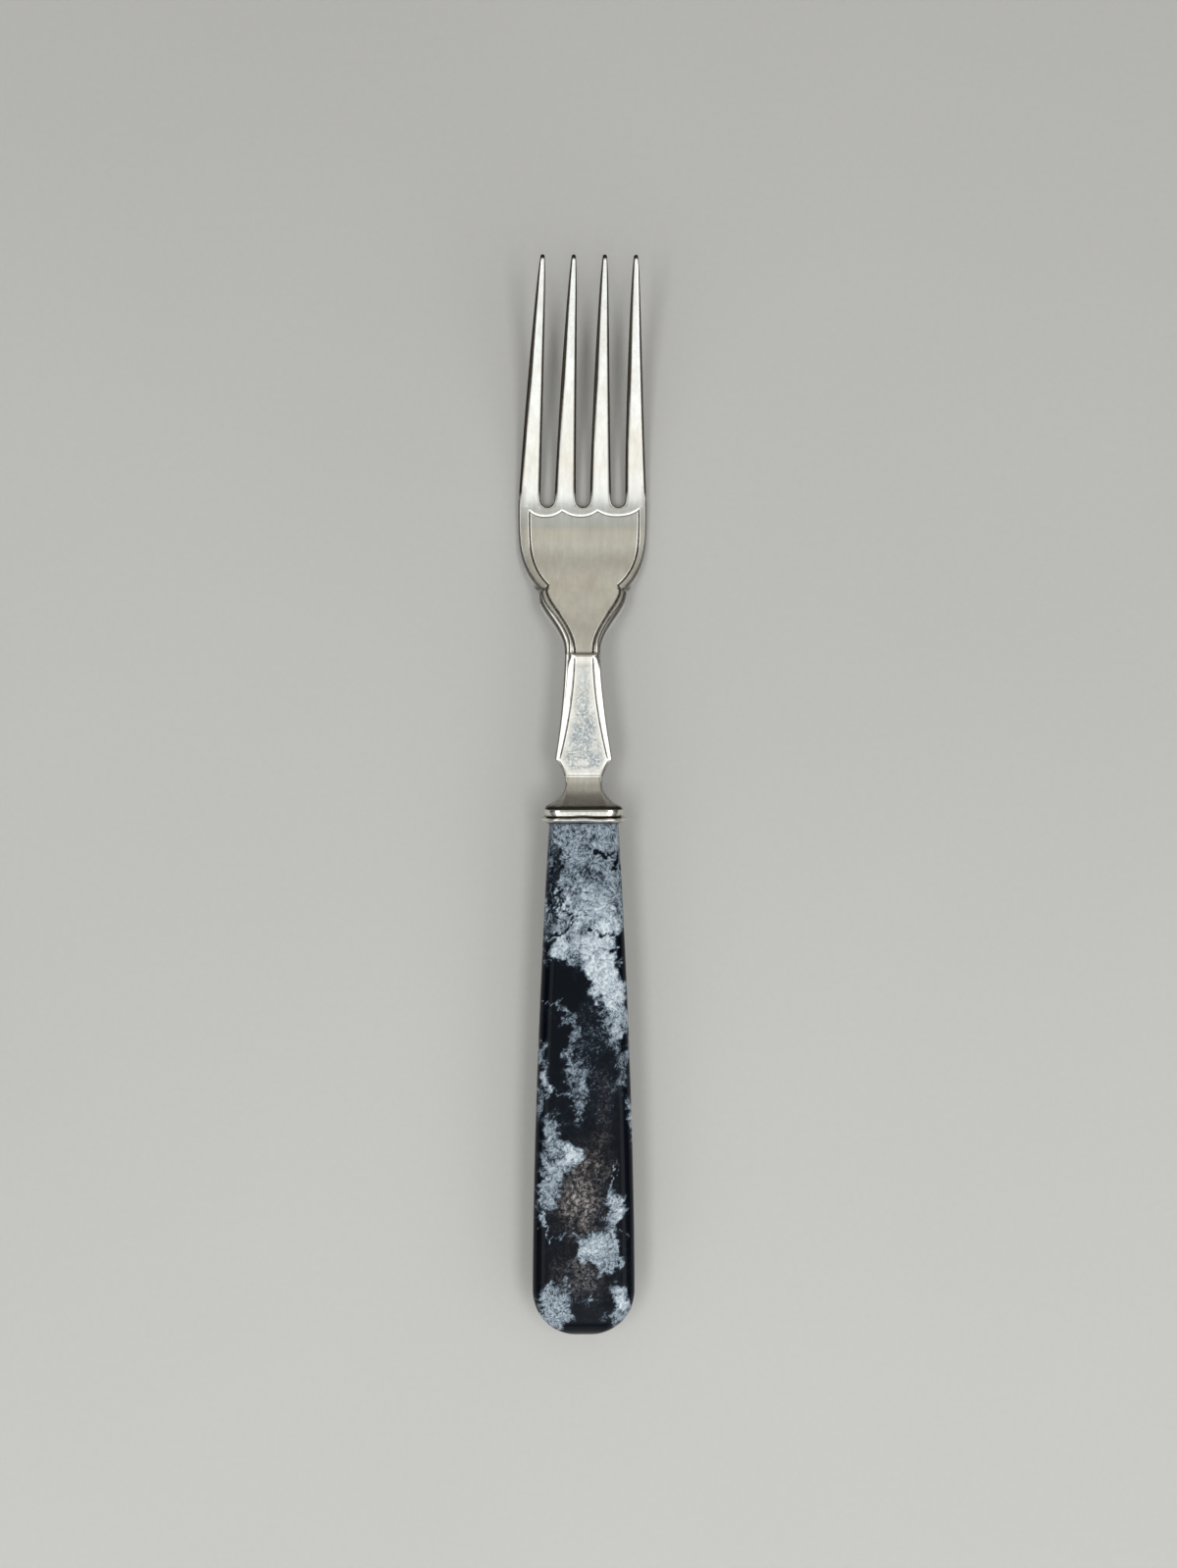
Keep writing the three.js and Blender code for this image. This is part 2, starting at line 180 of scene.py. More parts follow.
class Nodes:
    """A network of nodes, and short words that add nodes to it."""

    def __init__(self, tree):
        self.tree = tree

    def add(self, kind, **settings):
        """A new node with its settings."""
        node = self.tree.nodes.new(kind)
        for key, value in settings.items():
            setattr(node, key, value)
        return node

    def put(self, socket, value):
        """Links a node's output to a socket, or sets a number, a vector or a colour on it."""
        if isinstance(value, bpy.types.NodeSocket):
            self.tree.links.new(value, socket)
        elif socket.type == "RGBA":
            socket.default_value = (*value, 1)
        else:
            socket.default_value = value

    def feed(self, node, **inputs):
        """Puts values on a node's inputs and returns the node; an underscore in a name stands for a space."""
        for key, value in inputs.items():
            self.put(node.inputs[key.replace("_", " ")], value)
        return node

    def ramp(self, value, *stops):
        """A colour ramp through (place, colour) stops; a colour may be one number for grey."""
        node = self.feed(self.add("ShaderNodeValToRGB"), Fac=value)
        elements = node.color_ramp.elements
        elements.remove(elements[1])
        for number, (place, colour) in enumerate(stops):
            element = elements.new(place) if number else elements[0]
            element.position = place
            element.color = (*colour, 1) if isinstance(colour, tuple) else (colour, colour, colour, 1)
        return node.outputs["Color"]

    def sum(self, operation, a, b=0.0):
        """Arithmetic on two numbers, or on one."""
        node = self.add("ShaderNodeMath", operation=operation)
        self.put(node.inputs[0], a)
        self.put(node.inputs[1], b)
        return node.outputs[0]

    def times(self, a, b):
        """One number multiplied by another."""
        return self.sum("MULTIPLY", a, b)

    def plus(self, total, *others):
        """All numbers added up."""
        for other in others:
            total = self.sum("ADD", total, other)
        return total

    def between(self, factor, a, b, blend_type="MIX"):
        """Colour a where factor is 0; where it is 1 colour b, or a blended with b in another way."""
        node = self.add("ShaderNodeMix", data_type="RGBA", blend_type=blend_type)
        for index, value in ((0, factor), (6, a), (7, b)):
            self.put(node.inputs[index], value)
        return node.outputs[2]


class Finish(Nodes):
    """One material with its Principled shader, and words for its textures."""

    def __init__(self, name):
        self.material = bpy.data.materials.new(name)
        self.material.use_nodes = True
        super().__init__(self.material.node_tree)
        self.shader = self.tree.nodes["Principled BSDF"]
        self.place = self.add("ShaderNodeTexCoord").outputs["Object"]

    def attribute(self, name):
        """A number stored on the mesh's points."""
        return self.add("ShaderNodeAttribute", attribute_name=name).outputs["Fac"]

    def stretched(self, scale, turn=0.0):
        """Object coordinates turned about Z, then scaled by three numbers, in cycles per metre."""
        node = self.add("ShaderNodeMapping", vector_type="TEXTURE")
        self.feed(node, Vector=self.place, Rotation=(0, 0, math.radians(turn)), Scale=[1 / s for s in scale])
        return node.outputs["Vector"]

    def noise(self, scale, detail=2.0, roughness=0.5, distortion=0.0, vector=None):
        """Cloudy noise around 0.5."""
        node = self.add("ShaderNodeTexNoise")
        vector = self.place if vector is None else vector
        self.feed(node, Vector=vector, Scale=scale, Detail=detail, Roughness=roughness, Distortion=distortion)
        return node.outputs["Fac"]

    def bump(self, height, depth):
        """Surface normals tilted as if height 0 to 1 stood up by depth, in metres."""
        node = self.feed(self.add("ShaderNodeBump"), Height=height, Distance=depth, Strength=1.0)
        return node.outputs["Normal"]

    def dress(self, **inputs):
        """Feeds the shader and returns the finished material."""
        self.feed(self.shader, **inputs)
        return self.material


# %% [markdown]
# ## Table and light
# The fork lies on a pale grey table whose paint is graded darker towards its far end, a painted fall-off of light.
# Two lamps high up, one to each side, light the table and the handle, so each tine throws two soft shadows; weaker
# lamps at the walls and at the near end soften them. Polished metal shows the room itself, so the world is a function
# of direction: a bright near end, a warmer and dimmer far end, dim side walls and a dim horizon. Two long lamps at the
# left and right, which light no dull surface, and the near lamp add the bright streaks that the silver mirrors.

# %% Table
TABLE_HALF = 1.5
TABLE_DARK, TABLE_PALE = (0.280, 0.277, 0.266), (0.411, 0.408, 0.397)
GRAIN_PART, CLOUD_PART = 0.195, 0.363
TABLE_TONE, TABLE_PAINTED_FALLOFF = 0.221, -1.9

table_mesh = bpy.data.meshes.new("table_top")
corners = [(TABLE_HALF * x, TABLE_HALF * y, 0) for x, y in ((-1, -1), (1, -1), (1, 1), (-1, 1))]
table_mesh.from_pydata(corners, [], [(0, 1, 2, 3)])
table = bpy.data.objects.new("table_top", table_mesh)
bpy.context.collection.objects.link(table)

paint = Finish("pale_table_paint")
grain = paint.noise(900, detail=4, roughness=0.6)
cloud = paint.noise(6, detail=3)
to_far_end = paint.feed(paint.add("ShaderNodeSeparateXYZ"), Vector=paint.place).outputs["Y"]
mottling = paint.plus(paint.times(grain, GRAIN_PART), paint.times(cloud, CLOUD_PART))
# Painted shade: the table's tone falls off along Y, darker towards the far end, as the light would.
shade = paint.plus(mottling, paint.times(to_far_end, TABLE_PAINTED_FALLOFF), TABLE_TONE)
table_colour = paint.ramp(shade, (0.0, TABLE_DARK), (1.0, TABLE_PALE))
table_paint = paint.dress(Base_Color=table_colour, Roughness=0.85, Normal=paint.bump(grain, 0.00002))
table_mesh.materials.append(table_paint)

# %% Room light
NEAR_LIGHT = (1.20, 1.25, 1.27)
LOW_LIGHT = (0.58, 0.60, 0.60)
SOFT_LIGHT = (1.12, 1.12, 1.07)
MID_LIGHT = (0.44, 0.45, 0.42)
FAR_LIGHT = (0.575, 0.556, 0.488)
THROAT_LIGHT = (0.59, 0.59, 0.53)
FAR_SHADE = (0.45, 0.435, 0.385)
OVERHEAD_GAIN = (1.12, 1.18, 1.25)
HORIZON_DIM = 0.30
WALL_DIM, CORNER_DIM = 0.6, 0.32
BACKDROP = (0.46, 0.45, 0.43)

world = bpy.data.worlds.new("room")
world.use_nodes = True
bpy.context.scene.world = world
room = Nodes(world.node_tree)
view = room.add("ShaderNodeTexCoord").outputs["Generated"]
direction = room.feed(room.add("ShaderNodeSeparateXYZ"), Vector=view).outputs
near_to_far = room.feed(room.add("ShaderNodeMapRange"), Value=direction["Y"], From_Min=-1.0).outputs[0]
ends = room.ramp(
    near_to_far,
    (0.09, LOW_LIGHT),
    (0.18, NEAR_LIGHT),
    (0.31, SOFT_LIGHT),
    (0.430, NEAR_LIGHT),
    (0.452, MID_LIGHT),
    (0.52, MID_LIGHT),
    (0.62, FAR_LIGHT),
    (0.72, FAR_LIGHT),
    (0.78, THROAT_LIGHT),
    (0.90, FAR_SHADE),
    (0.942, FAR_LIGHT),
)
walls = room.ramp(room.sum("ABSOLUTE", direction["X"]), (0.30, 1.0), (0.60, WALL_DIM), (0.85, CORNER_DIM))
rise = room.ramp(direction["Z"], (0.1, HORIZON_DIM), (0.45, 1.0), (0.9965, 1.0), (0.9982, OVERHEAD_GAIN))
room_light = room.between(1.0, room.between(1.0, ends, walls, "MULTIPLY"), rise, "MULTIPLY")
to_camera = room.add("ShaderNodeLightPath").outputs["Is Camera Ray"]
seen = room.between(to_camera, room_light, BACKDROP)
room.feed(world.node_tree.nodes["Background"], Color=seen, Strength=1.0)

# %% Lamps
# Each lamp: place, size, power, whether it lights dull surfaces and whether bright ones mirror it.
LAMPS = {
    "lamp_left": ((-0.42, 0.0, 0.60), (0.36, 1.2), 2.1, False, True),
    "lamp_right": ((0.42, 0.0, 0.60), (0.36, 1.2), 2.5, False, True),
    "lamp_near": ((0.0, -0.95, 0.48), (1.6, 0.7), 4.0, True, True),
    "lamp_over_left": ((-0.34, -0.10, 1.20), (0.24, 0.6), 5.8, True, False),
    "lamp_over_right": ((0.30, -0.10, 1.20), (0.24, 0.6), 5.5, True, False),
    "lamp_wall_left": ((-0.60, -0.25, 0.50), (0.4, 1.0), 0.5, True, False),
    "lamp_wall_right": ((0.60, -0.25, 0.50), (0.4, 1.0), 1.2, True, False),
}
for name, (place, size, power, lights, shines) in LAMPS.items():
    lamp_data = bpy.data.lights.new(name, "AREA")
    lamp_data.shape = "RECTANGLE"
    lamp_data.size, lamp_data.size_y = size
    lamp_data.energy = power
    lamp = bpy.data.objects.new(name, lamp_data)
    lamp.location = place
    lamp.rotation_euler = facing(Vector(place), Vector((0, 0, 0)))
    lamp.visible_diffuse = lights
    lamp.visible_glossy = shines
    bpy.context.collection.objects.link(lamp)
print("table, room and", len(LAMPS), "lamps")

# %% [markdown]
# ## The head as four strips
# A fork is struck from one blank: a bell, a shank and a bowl, out of which four tines are cut. As a surface it is
# easiest to see as four strips that run side by side from the bell to the tips. Below the slots the strips share
# their edges and read as one sheet; above them each strip keeps its own edges and becomes a tine. The columns of the
# grid follow the engraved line and the bevels, and its rows bend along the scallops, so every cut is real geometry.
# The lengths repeat the solid's own, because the surface has to lie where the solid is.

# %% Side view of the head
SHANK_THICKNESS = 3.6
BELL_THICKNESS = 11.5
CUSP_THICKNESS, ROOT_THICKNESS, TIP_THICKNESS = 3.1, 2.4, 0.9
HEEL_Y = WAIST_Y + 23.4
HEEL_DEPTH, TIP_RISE = 8.8, 6.2
WAIST_SLOPE, TIP_SLOPE = math.tan(math.radians(-15)), math.tan(math.radians(27))
TILT_BLEND = 4


def cubic(y, start, end):
    """Height and slope of the cubic that leaves start and reaches end, each given as (y, height, slope)."""
    (y0, z0, m0), (y1, z1, m1) = start, end
    h = y1 - y0
    u = (y - y0) / h
    rest = 1 - u
    z = z0 * rest**2 * (1 + 2 * u) + m0 * h * u * rest**2
    z = z + z1 * u * u * (3 - 2 * u) - m1 * h * u * u * rest
    slope = 6 * u * rest * (z1 - z0) / h + m0 * rest * (1 - 3 * u) + m1 * u * (3 * u - 2)
    return z, np.arctan(slope)


def face_line(y):
    """Height of the front face above the axis and its slope: bell, level shank, then two cubics over the heel."""
    panel = SHANK_THICKNESS / 2
    bell = blend(panel, BELL_THICKNESS / 2, share(y, CREASE_Y, BELL_Y) ** 2)
    heel = (HEEL_Y, -HEEL_DEPTH, 0)
    down, down_slope = cubic(y, (WAIST_Y, panel, WAIST_SLOPE), heel)
    up, up_slope = cubic(y, heel, (TIP_Y, TIP_RISE, TIP_SLOPE))
    height = np.select([y < CREASE_Y, y < WAIST_Y, y < HEEL_Y], [bell, panel + 0 * y, down], up)
    slope = np.select([y < WAIST_Y, y < HEEL_Y], [0 * y, down_slope], up_slope)
    return height, slope


def head_thickness(y):
    """Full thickness square to the face, from the bell to the tine tips."""
    shoulders = blend(SHANK_THICKNESS, CUSP_THICKNESS, share(y, WAIST_Y, CUSP_Y))
    bowl = blend(CUSP_THICKNESS, ROOT_THICKNESS, smooth(share(y, CUSP_Y, SLOT_Y)))
    tines = blend(ROOT_THICKNESS, TIP_THICKNESS, share(y, SLOT_Y, TIP_Y))
    return np.select([y < WAIST_Y, y < CUSP_Y, y < SLOT_Y], [2 * face_line(y)[0], shoulders, bowl], tines)


# %% Front view: the side, the engraved line and the arris between them
TINE_COUNT = 4
ROOT_PITCH, TIP_PITCH = 6.37, 5.37
ROOT_WIDTH, TIP_WIDTH = 3.85, 0.5
ROOT_RADIUS = (ROOT_PITCH - ROOT_WIDTH) / 2
TIP_LEAN = 0.85
CORNER_Y = CUSP_Y + 0.25

# Half-widths of the head's outline, and how much fuller its left side is
BELL_SIDE, NECK_SIDE, KNEE_SIDE, WAIST_SIDE = 6.65, 3.2, 5.05, 2.9
SHOULDER_FOOT, SHOULDER_SIDE = 2.5, 7.4
NOTCH_DEPTH = 0.7
WAIST_FLANK, BOWL_FLANK, TIP_FLANK = 0.4, 0.25, 0.12
LEFT_FLANK = 0.4
# Width of the strip outside the arris, how much more it is where it swells, and its part of the room at most
SHANK_STRIP, SHOULDER_STRIP, BLADE_STRIP, STRIP_SWELL = 0.22, 0.3, 0.05, 0.6
SWELL_Y, SWELL_LENGTH = WAIST_Y + 5, 2.8
STRIP_PART = 0.45

# Half-widths between the engraved lines and between the panel's edges, which carry them on
LINE_BOWL = {1: 10.05, -1: 9.55}
LINE_CORNER, LINE_SHOULDER, LINE_WAIST = 6.2, 6.7, 1.6
BELL_FACE, NECK_FACE, KNEE_PANEL = 4.35, 2.95, 4.2

# Sweep of each curved edge, as the power of its share
BELL_SWEEP, KNEE_SWEEP, SHANK_SWEEP, PANEL_SWEEP = 2.3, 1.9, 1.5, 1.85
SHOULDER_SWEEP, PULL_SWEEP, BOWL_SWEEP, LINE_SWEEP = 1.25, 1.6, 3.6, 4.2
TINE_SWEEP, LEAN_SWEEP = 0.6, 1.4


def tine_pitch(y):
    """Distance between neighbouring tines."""
    return blend(ROOT_PITCH, TIP_PITCH, share(y, SLOT_Y, TIP_Y))


def tine_width(y):
    """Width of one tine, quick to narrow near the tip."""
    return blend(TIP_WIDTH, ROOT_WIDTH, (1 - share(y, SLOT_Y, TIP_Y)) ** TINE_SWEEP)


def lean(y):
    """The tines are set over to +X by this."""
    return TIP_LEAN * share(y, SLOT_Y, TIP_Y) ** LEAN_SWEEP


def flank(y):
    """How far the sides stand out past the flat face of the blade."""
    shoulders = blend(WAIST_FLANK, BOWL_FLANK, share(y, WAIST_Y, CUSP_Y))
    tines = blend(BOWL_FLANK, TIP_FLANK, share(y, SLOT_Y, TIP_Y))
    return np.where(y < CUSP_Y, shoulders, tines)


def side_place(y, side):
    """Half the head's width: bell, neck, knee, waist, shoulders with a notch, bowl and tines; fuller on the left."""
    bell = blend(NECK_SIDE, BELL_SIDE, share(y, NECK_Y, BELL_Y) ** BELL_SWEEP)
    neck = blend(NECK_SIDE, KNEE_SIDE, share(y, NECK_Y, KNEE_Y) ** KNEE_SWEEP)
    shank = blend(WAIST_SIDE, KNEE_SIDE, share(y, WAIST_Y, KNEE_Y) ** SHANK_SWEEP)
    to_notch = smooth(share(y, WAIST_Y, NICK_Y) ** SHOULDER_SWEEP)
    shoulder = blend(SHOULDER_FOOT, SHOULDER_SIDE, to_notch) + flank(y)
    notch = SHOULDER_SIDE - NOTCH_DEPTH * (1 - np.abs(2 * share(y, NICK_Y, CUSP_Y) - 1)) + flank(y)
    blade = ((TINE_COUNT - 1) * tine_pitch(y) + tine_width(y)) / 2
    to_slots = 1 - (1 - share(y, CUSP_Y, SLOT_Y)) ** BOWL_SWEEP
    bowl = blend(SHOULDER_SIDE, blade - flank(y), to_slots) + flank(y)
    stretches = [y < NECK_Y, y < KNEE_Y, y < WAIST_Y, y < NICK_Y, y < CUSP_Y]
    half = np.select(stretches, [bell, neck, shank, shoulder, notch], bowl)
    fuller = smooth(share(y, KNEE_Y, WAIST_Y)) - 0.7 * smooth(share(y, NICK_Y - 2, NICK_Y))
    fuller = fuller - 0.3 * share(y, SLOT_Y, TIP_Y)
    return half + np.where(side < 0, LEFT_FLANK * fuller, 0)


def line_place(y, side):
    """Half the width between the engraved lines, which run on as the edges of the shank's panel and the bell's face."""
    bell = blend(NECK_FACE, BELL_FACE, share(y, NECK_Y, BELL_Y) ** BELL_SWEEP)
    neck = blend(NECK_FACE, KNEE_PANEL, share(y, NECK_Y, KNEE_Y) ** KNEE_SWEEP)
    shank = blend(LINE_WAIST, KNEE_PANEL, share(y, WAIST_Y, KNEE_Y) ** PANEL_SWEEP)
    pull = (LINE_SHOULDER - LINE_CORNER) * share(y, CORNER_Y - 1.6, CORNER_Y) ** PULL_SWEEP
    shoulder = blend(LINE_WAIST, LINE_SHOULDER, smooth(share(y, WAIST_Y, CUSP_Y) ** SHOULDER_SWEEP)) - pull
    bowl = blend(LINE_CORNER, LINE_BOWL[side], 1 - (1 - share(y, CORNER_Y, SLOT_Y)) ** LINE_SWEEP)
    root = (LINE_BOWL[side] - ROOT_PITCH) / (side_place(np.float64(SLOT_Y), side) - ROOT_PITCH)
    inner = tine_pitch(y) + slot_opening(y)
    tine = inner + root * (side_place(y, side) - inner)
    stretches = [y < NECK_Y, y < KNEE_Y, y < WAIST_Y, y < CORNER_Y, y < SLOT_Y]
    return np.select(stretches, [bell, neck, shank, shoulder, bowl], tine)


def arris_place(y, side):
    """Half the width between the arrises where the outer moulding starts, inside the side by a strip that swells."""
    shoulder = SHOULDER_STRIP + STRIP_SWELL * hump(y, SWELL_Y, SWELL_LENGTH)
    strip = np.select([y < WAIST_Y - 1, y < CUSP_Y], [SHANK_STRIP + 0 * y, shoulder], flank(y) + BLADE_STRIP)
    outer = side_place(y, 1)
    inner = line_place(y, side)
    return outer - np.minimum(strip, STRIP_PART * (outer - inner))


def slot_opening(y):
    """Half the width of a slot: a half-round root, then the gap that the tines leave."""
    gap = (tine_pitch(y) - tine_width(y)) / 2
    rise = np.clip((SLOT_Y + ROOT_RADIUS - y) / ROOT_RADIUS, 0, 1)
    return np.where(y <= SLOT_Y, 0.0, gap * np.sqrt(1 - rise**2))


# %% Scallops under the slots
SCALLOP_CUSPS = ((-9.55, -0.75), (-3.68, -0.6), (2.63, -0.65), (10.05, -0.42))
SCALLOP_SAG, SCALLOP_SWEEP = 1.05, 2.4
cusp_x, cusp_drop = np.array(SCALLOP_CUSPS).T


def scallop(x):
    """The hanging line under the slots: arcs between the cusps, each sagging as 1 less the 2.4th power of the way."""
    arc = np.clip(np.searchsorted(cusp_x, x, side="right") - 1, 0, len(cusp_x) - 2)
    left, right = cusp_x[arc], cusp_x[arc + 1]
    u = np.clip(2 * (x - left) / (right - left) - 1, -1, 1)
    chord = blend(cusp_drop[arc], cusp_drop[arc + 1], (u + 1) / 2)
    return SLOT_Y + chord - SCALLOP_SAG * (1 - np.abs(u) ** SCALLOP_SWEEP)


# %% Rows of the grid, from the bell to the tips
GROOVE_ROWS = np.array([-0.32, -0.22, -0.14, -0.07, 0, 0.07, 0.14, 0.22, 0.32])
TIP_NOSE = 0.45
BEND_Y = SLOT_Y - 4
# Each stretch of level rows: where it starts and how many rows it has. At the last place the rows start to bend.
STRETCHES = (
    (BELL_Y, 16),
    (NECK_Y, 6),
    (CREASE_Y - 0.7, 16),
    (CREASE_Y + 1.0, 5),
    (KNEE_Y - 0.3, 4),
    (KNEE_Y + 0.3, 22),
    (WAIST_Y - 2.0, 26),
    (WAIST_Y + 1.0, 40),
    (NICK_Y - 0.2, 24),
    (CORNER_Y + 0.3, 34),
    (BEND_Y, 0),
)

plain_rows = np.concatenate([run(start, end, count) for (start, count), (end, _) in zip(STRETCHES, STRETCHES[1:])])
approach = run(0, 1, 10)
departure = np.array([0.22, 0.4, 0.55, 0.68, 0.79, 0.88, 0.95])
root_rows = SLOT_Y + ROOT_RADIUS * (1 - np.cos(np.linspace(0, math.pi / 2, 13)))
shaft_rows = run(root_rows[-1] + 0.4, TIP_Y - 2, 64)
tip_rows = run(TIP_Y - 2, TIP_Y - TIP_NOSE, 12)
tine_rows = np.concatenate([root_rows, shaft_rows, tip_rows])

row_y = np.concatenate([plain_rows, 0 * approach + BEND_Y, 0 * GROOVE_ROWS, 0 * departure + SLOT_Y, tine_rows])
row_bend = np.concatenate([0 * plain_rows, approach, 0 * GROOVE_ROWS + 1, 1 - departure, 0 * tine_rows])
row_shift = np.concatenate([
    0 * plain_rows, 0 * approach + GROOVE_ROWS[0], GROOVE_ROWS, 0 * departure + GROOVE_ROWS[-1], 0 * tine_rows
])
FIRST_TINE_ROW = len(row_y) - len(tine_rows)


def rows_at(hanging):
    """Each row's y: its own height, drawn towards the hanging line by its bend."""
    return (1 - row_bend[:, None]) * row_y[:, None] + row_bend[:, None] * (hanging + row_shift[:, None])


MEAN_DROP = cusp_drop.mean() - SCALLOP_SAG / 2
level_rows = rows_at(np.array([[SLOT_Y + MEAN_DROP]]))
print(len(row_y), "rows,", len(tine_rows), "of them on the tines")

# %% Depth below the face
PANEL_STEP, PANEL_EASE = 0.28, 0.05
PANEL_ROLL, ROLL_WIDTH = 0.06, 0.8
NECK_STEP, NECK_EASE = 0.3, 0.04
LIP_LENGTH, LIP_RISE = 2.0, 0.24
# Each cut's depth, half its width and the dirt in it; for the scallop that is painted shade on its lower wall
LINE_DEPTH, LINE_HALF, LINE_DIRT = 0.20, 0.19, 0.95
SCALLOP_DEPTH, SCALLOP_HALF, SCALLOP_SHADE = 0.12, 0.20, 0.95
PANEL_LINE_DEPTH, PANEL_LINE_HALF, PANEL_LINE_DIRT = 0.09, 0.17, 0.8
ARRIS_DEPTH, ARRIS_HALF, ARRIS_DIRT = 0.15, 0.17, 0.9
WAIST_LINE_HALF = 0.26
DIRT_GAIN, MOST_DIRT = 2.5, 0.95
# Depth at the arris, and where the side wall starts
SHANK_ARRIS, BELL_ARRIS, WAIST_ARRIS, CUSP_ARRIS, BOWL_ARRIS = 0.32, 1.0, 0.34, 0.16, 0.04
SHANK_WALL, BELL_WALL, BLADE_WALL, TIP_WALL = 0.8, 2.4, 0.9, 0.3


def face_depth(y):
    """The middle's depth: the shank's panel stands proud, rolls over and steps down to the neck and to the bowl."""
    t = y - WAIST_Y
    to_bowl = PANEL_EASE * share(t, -1.7, -0.4) ** 2 + (PANEL_STEP - PANEL_EASE) * smooth(share(t, -0.5, 0.35))
    to_bowl = to_bowl * (1 - smooth(share(y, WAIST_Y + 1, CUSP_Y)))
    over_crease = smooth(share(y, CREASE_Y + 0.1, CREASE_Y - 0.5))
    to_neck = NECK_EASE * share(y, CREASE_Y + 0.9, CREASE_Y) ** 2 + NECK_STEP * over_crease
    return to_bowl + to_neck * (1 - share(y, CREASE_Y, BELL_Y)) ** 1.2


def arris_depth(y):
    """Depth at the arris: full on the shank, shallow at the notches, almost none on the bowl, deep on the bell."""
    bell = blend(SHANK_ARRIS, BELL_ARRIS, share(y, NECK_Y, BELL_Y))
    blade = blend(WAIST_ARRIS, CUSP_ARRIS, share(y, WAIST_Y, CUSP_Y))
    return np.select([y < NECK_Y, y < WAIST_Y, y < CUSP_Y], [bell, SHANK_ARRIS + 0 * y, blade], BOWL_ARRIS)


def side_depth(y):
    """Depth where the side wall starts."""
    bell = blend(SHANK_WALL, BELL_WALL, share(y, NECK_Y, BELL_Y))
    blade = blend(BLADE_WALL, TIP_WALL, share(y, SLOT_Y, TIP_Y))
    return np.minimum(np.where(y < WAIST_Y, bell, blade), head_thickness(y) / 2)


def vee(distance, half):
    """A graver's cut: 1 at the middle, 0 from half on, with a slightly rounded bottom."""
    u = np.clip(np.abs(distance) / half, 0, 1)
    return 1 - np.sqrt(u * u + 0.02 * (1 - u))


def steepness(curve, y, side):
    """How much longer a curve is than its run along y, from its slope over a small step."""
    step = 0.05
    return np.sqrt(1 + ((curve(y + step, side) - curve(y - step, side)) / (2 * step)) ** 2)


def moulded_depth(x, y, side):
    """Depth across a section without cuts: face, sloping border, then a quarter-round moulding down to the side.

    The panel rolls over at its edges and rises to a lip at its upper end.
    """
    line, arris, edge = line_place(y, side), arris_place(y, side), side_place(y, side)
    border = share(x, line, arris)
    round_over = 1 - np.sqrt(1 - share(x, arris, edge) ** 2)
    on_panel = span(y, CREASE_Y, CREASE_Y + 1, WAIST_Y - 1, WAIST_Y)
    roll = PANEL_ROLL * share(x, line - ROLL_WIDTH, line) ** 2 * on_panel
    lip = LIP_RISE * share(y, WAIST_Y - LIP_LENGTH, WAIST_Y - 0.35) ** 2 * share(y, WAIST_Y + 0.35, WAIST_Y - 0.2)
    inner = face_depth(y) - lip
    outer = np.maximum(arris_depth(y), inner)
    return inner + roll * (1 - border) + (outer - inner) * border + (side_depth(y) - outer) * round_over


def slot_distance(x, y):
    """Distance in plan to the nearest slot's edge, round its root as well as along its sides."""
    root_y = SLOT_Y + ROOT_RADIUS
    nearest = np.full(np.broadcast(x, y).shape, 1e3)
    for middle in (0.0, 1.0):
        beside = np.abs(x - middle * tine_pitch(y)) - (tine_pitch(y) - tine_width(y)) / 2
        below = np.hypot(x - middle * ROOT_PITCH, y - root_y) - ROOT_RADIUS
        nearest = np.minimum(nearest, np.where(y < root_y, below, beside))
    return np.maximum(nearest, 0)


def round_edge(distance, wide, deep):
    """A rounded edge: deep at the edge itself, falling to none at wide from it, as a quarter of an ellipse."""
    u = 1 - np.clip(distance / wide, 0, 1)
    return deep * (1 - np.sqrt(1 - u * u))


def line_half(y):
    """Half the width of the engraved line: a broad cut at the waist, a fine one round the bowl."""
    return blend(WAIST_LINE_HALF, LINE_HALF, share(y, WAIST_Y + 4, CUSP_Y + 2))


def cuts(x, y, side):
    """Depth and dirt of graver's lines round the bowl, beside the panel, on the arris; in scallops, painted shade
    below.
    """
    line, arris = line_place(y, side), arris_place(y, side)
    corner = SLOT_Y + cusp_drop[-1 if side > 0 else 0]
    on_bowl = span(y, WAIST_Y + 0.1, WAIST_Y + 0.6, corner - 0.4, corner + 0.1)
    bowl_cut = on_bowl * vee(x - line, line_half(y) * steepness(line_place, y, side))
    on_panel = span(y, KNEE_Y - 0.2, KNEE_Y + 0.6, WAIST_Y - 1.0, WAIST_Y - 0.2)
    panel_cut = on_panel * vee(x - line, PANEL_LINE_HALF)
    on_arris = span(y, WAIST_Y - 3, WAIST_Y - 1, NICK_Y - 0.3, CUSP_Y)
    arris_cut = on_arris * vee(x - arris, ARRIS_HALF * steepness(arris_place, y, side))
    above = (y - scallop(side * x)) * 0.85
    hanging_cut = share(x, line + 0.12, line) * vee(above, SCALLOP_HALF) * (y > BEND_Y)
    depth = LINE_DEPTH * bowl_cut + PANEL_LINE_DEPTH * panel_cut + ARRIS_DEPTH * arris_cut
    # Painted shade on the scallop cut's lower wall only.
    under_scallop = hanging_cut * share(above, -0.02, -0.10)
    on_lines = [LINE_DIRT * np.sqrt(bowl_cut), PANEL_LINE_DIRT * panel_cut, ARRIS_DIRT * arris_cut]
    dirt_and_shade = DIRT_GAIN * np.max([*on_lines, SCALLOP_SHADE * under_scallop], axis=0)
    return np.maximum(depth, SCALLOP_DEPTH * hanging_cut), np.minimum(dirt_and_shade, MOST_DIRT)


# %% Columns of the grid: knots across a strip, filled with cells
TOP_EDGE, TIP_TOP_EDGE = 0.32, 0.1
BACK_EDGE, TIP_BACK_EDGE = 0.5, 0.25
BACK_ROUND, BACK_ROUND_WIDTH = 0.85, 1.7
# How far out a groove's outer knots lie, in half-widths of the groove
GUARD = 1.6
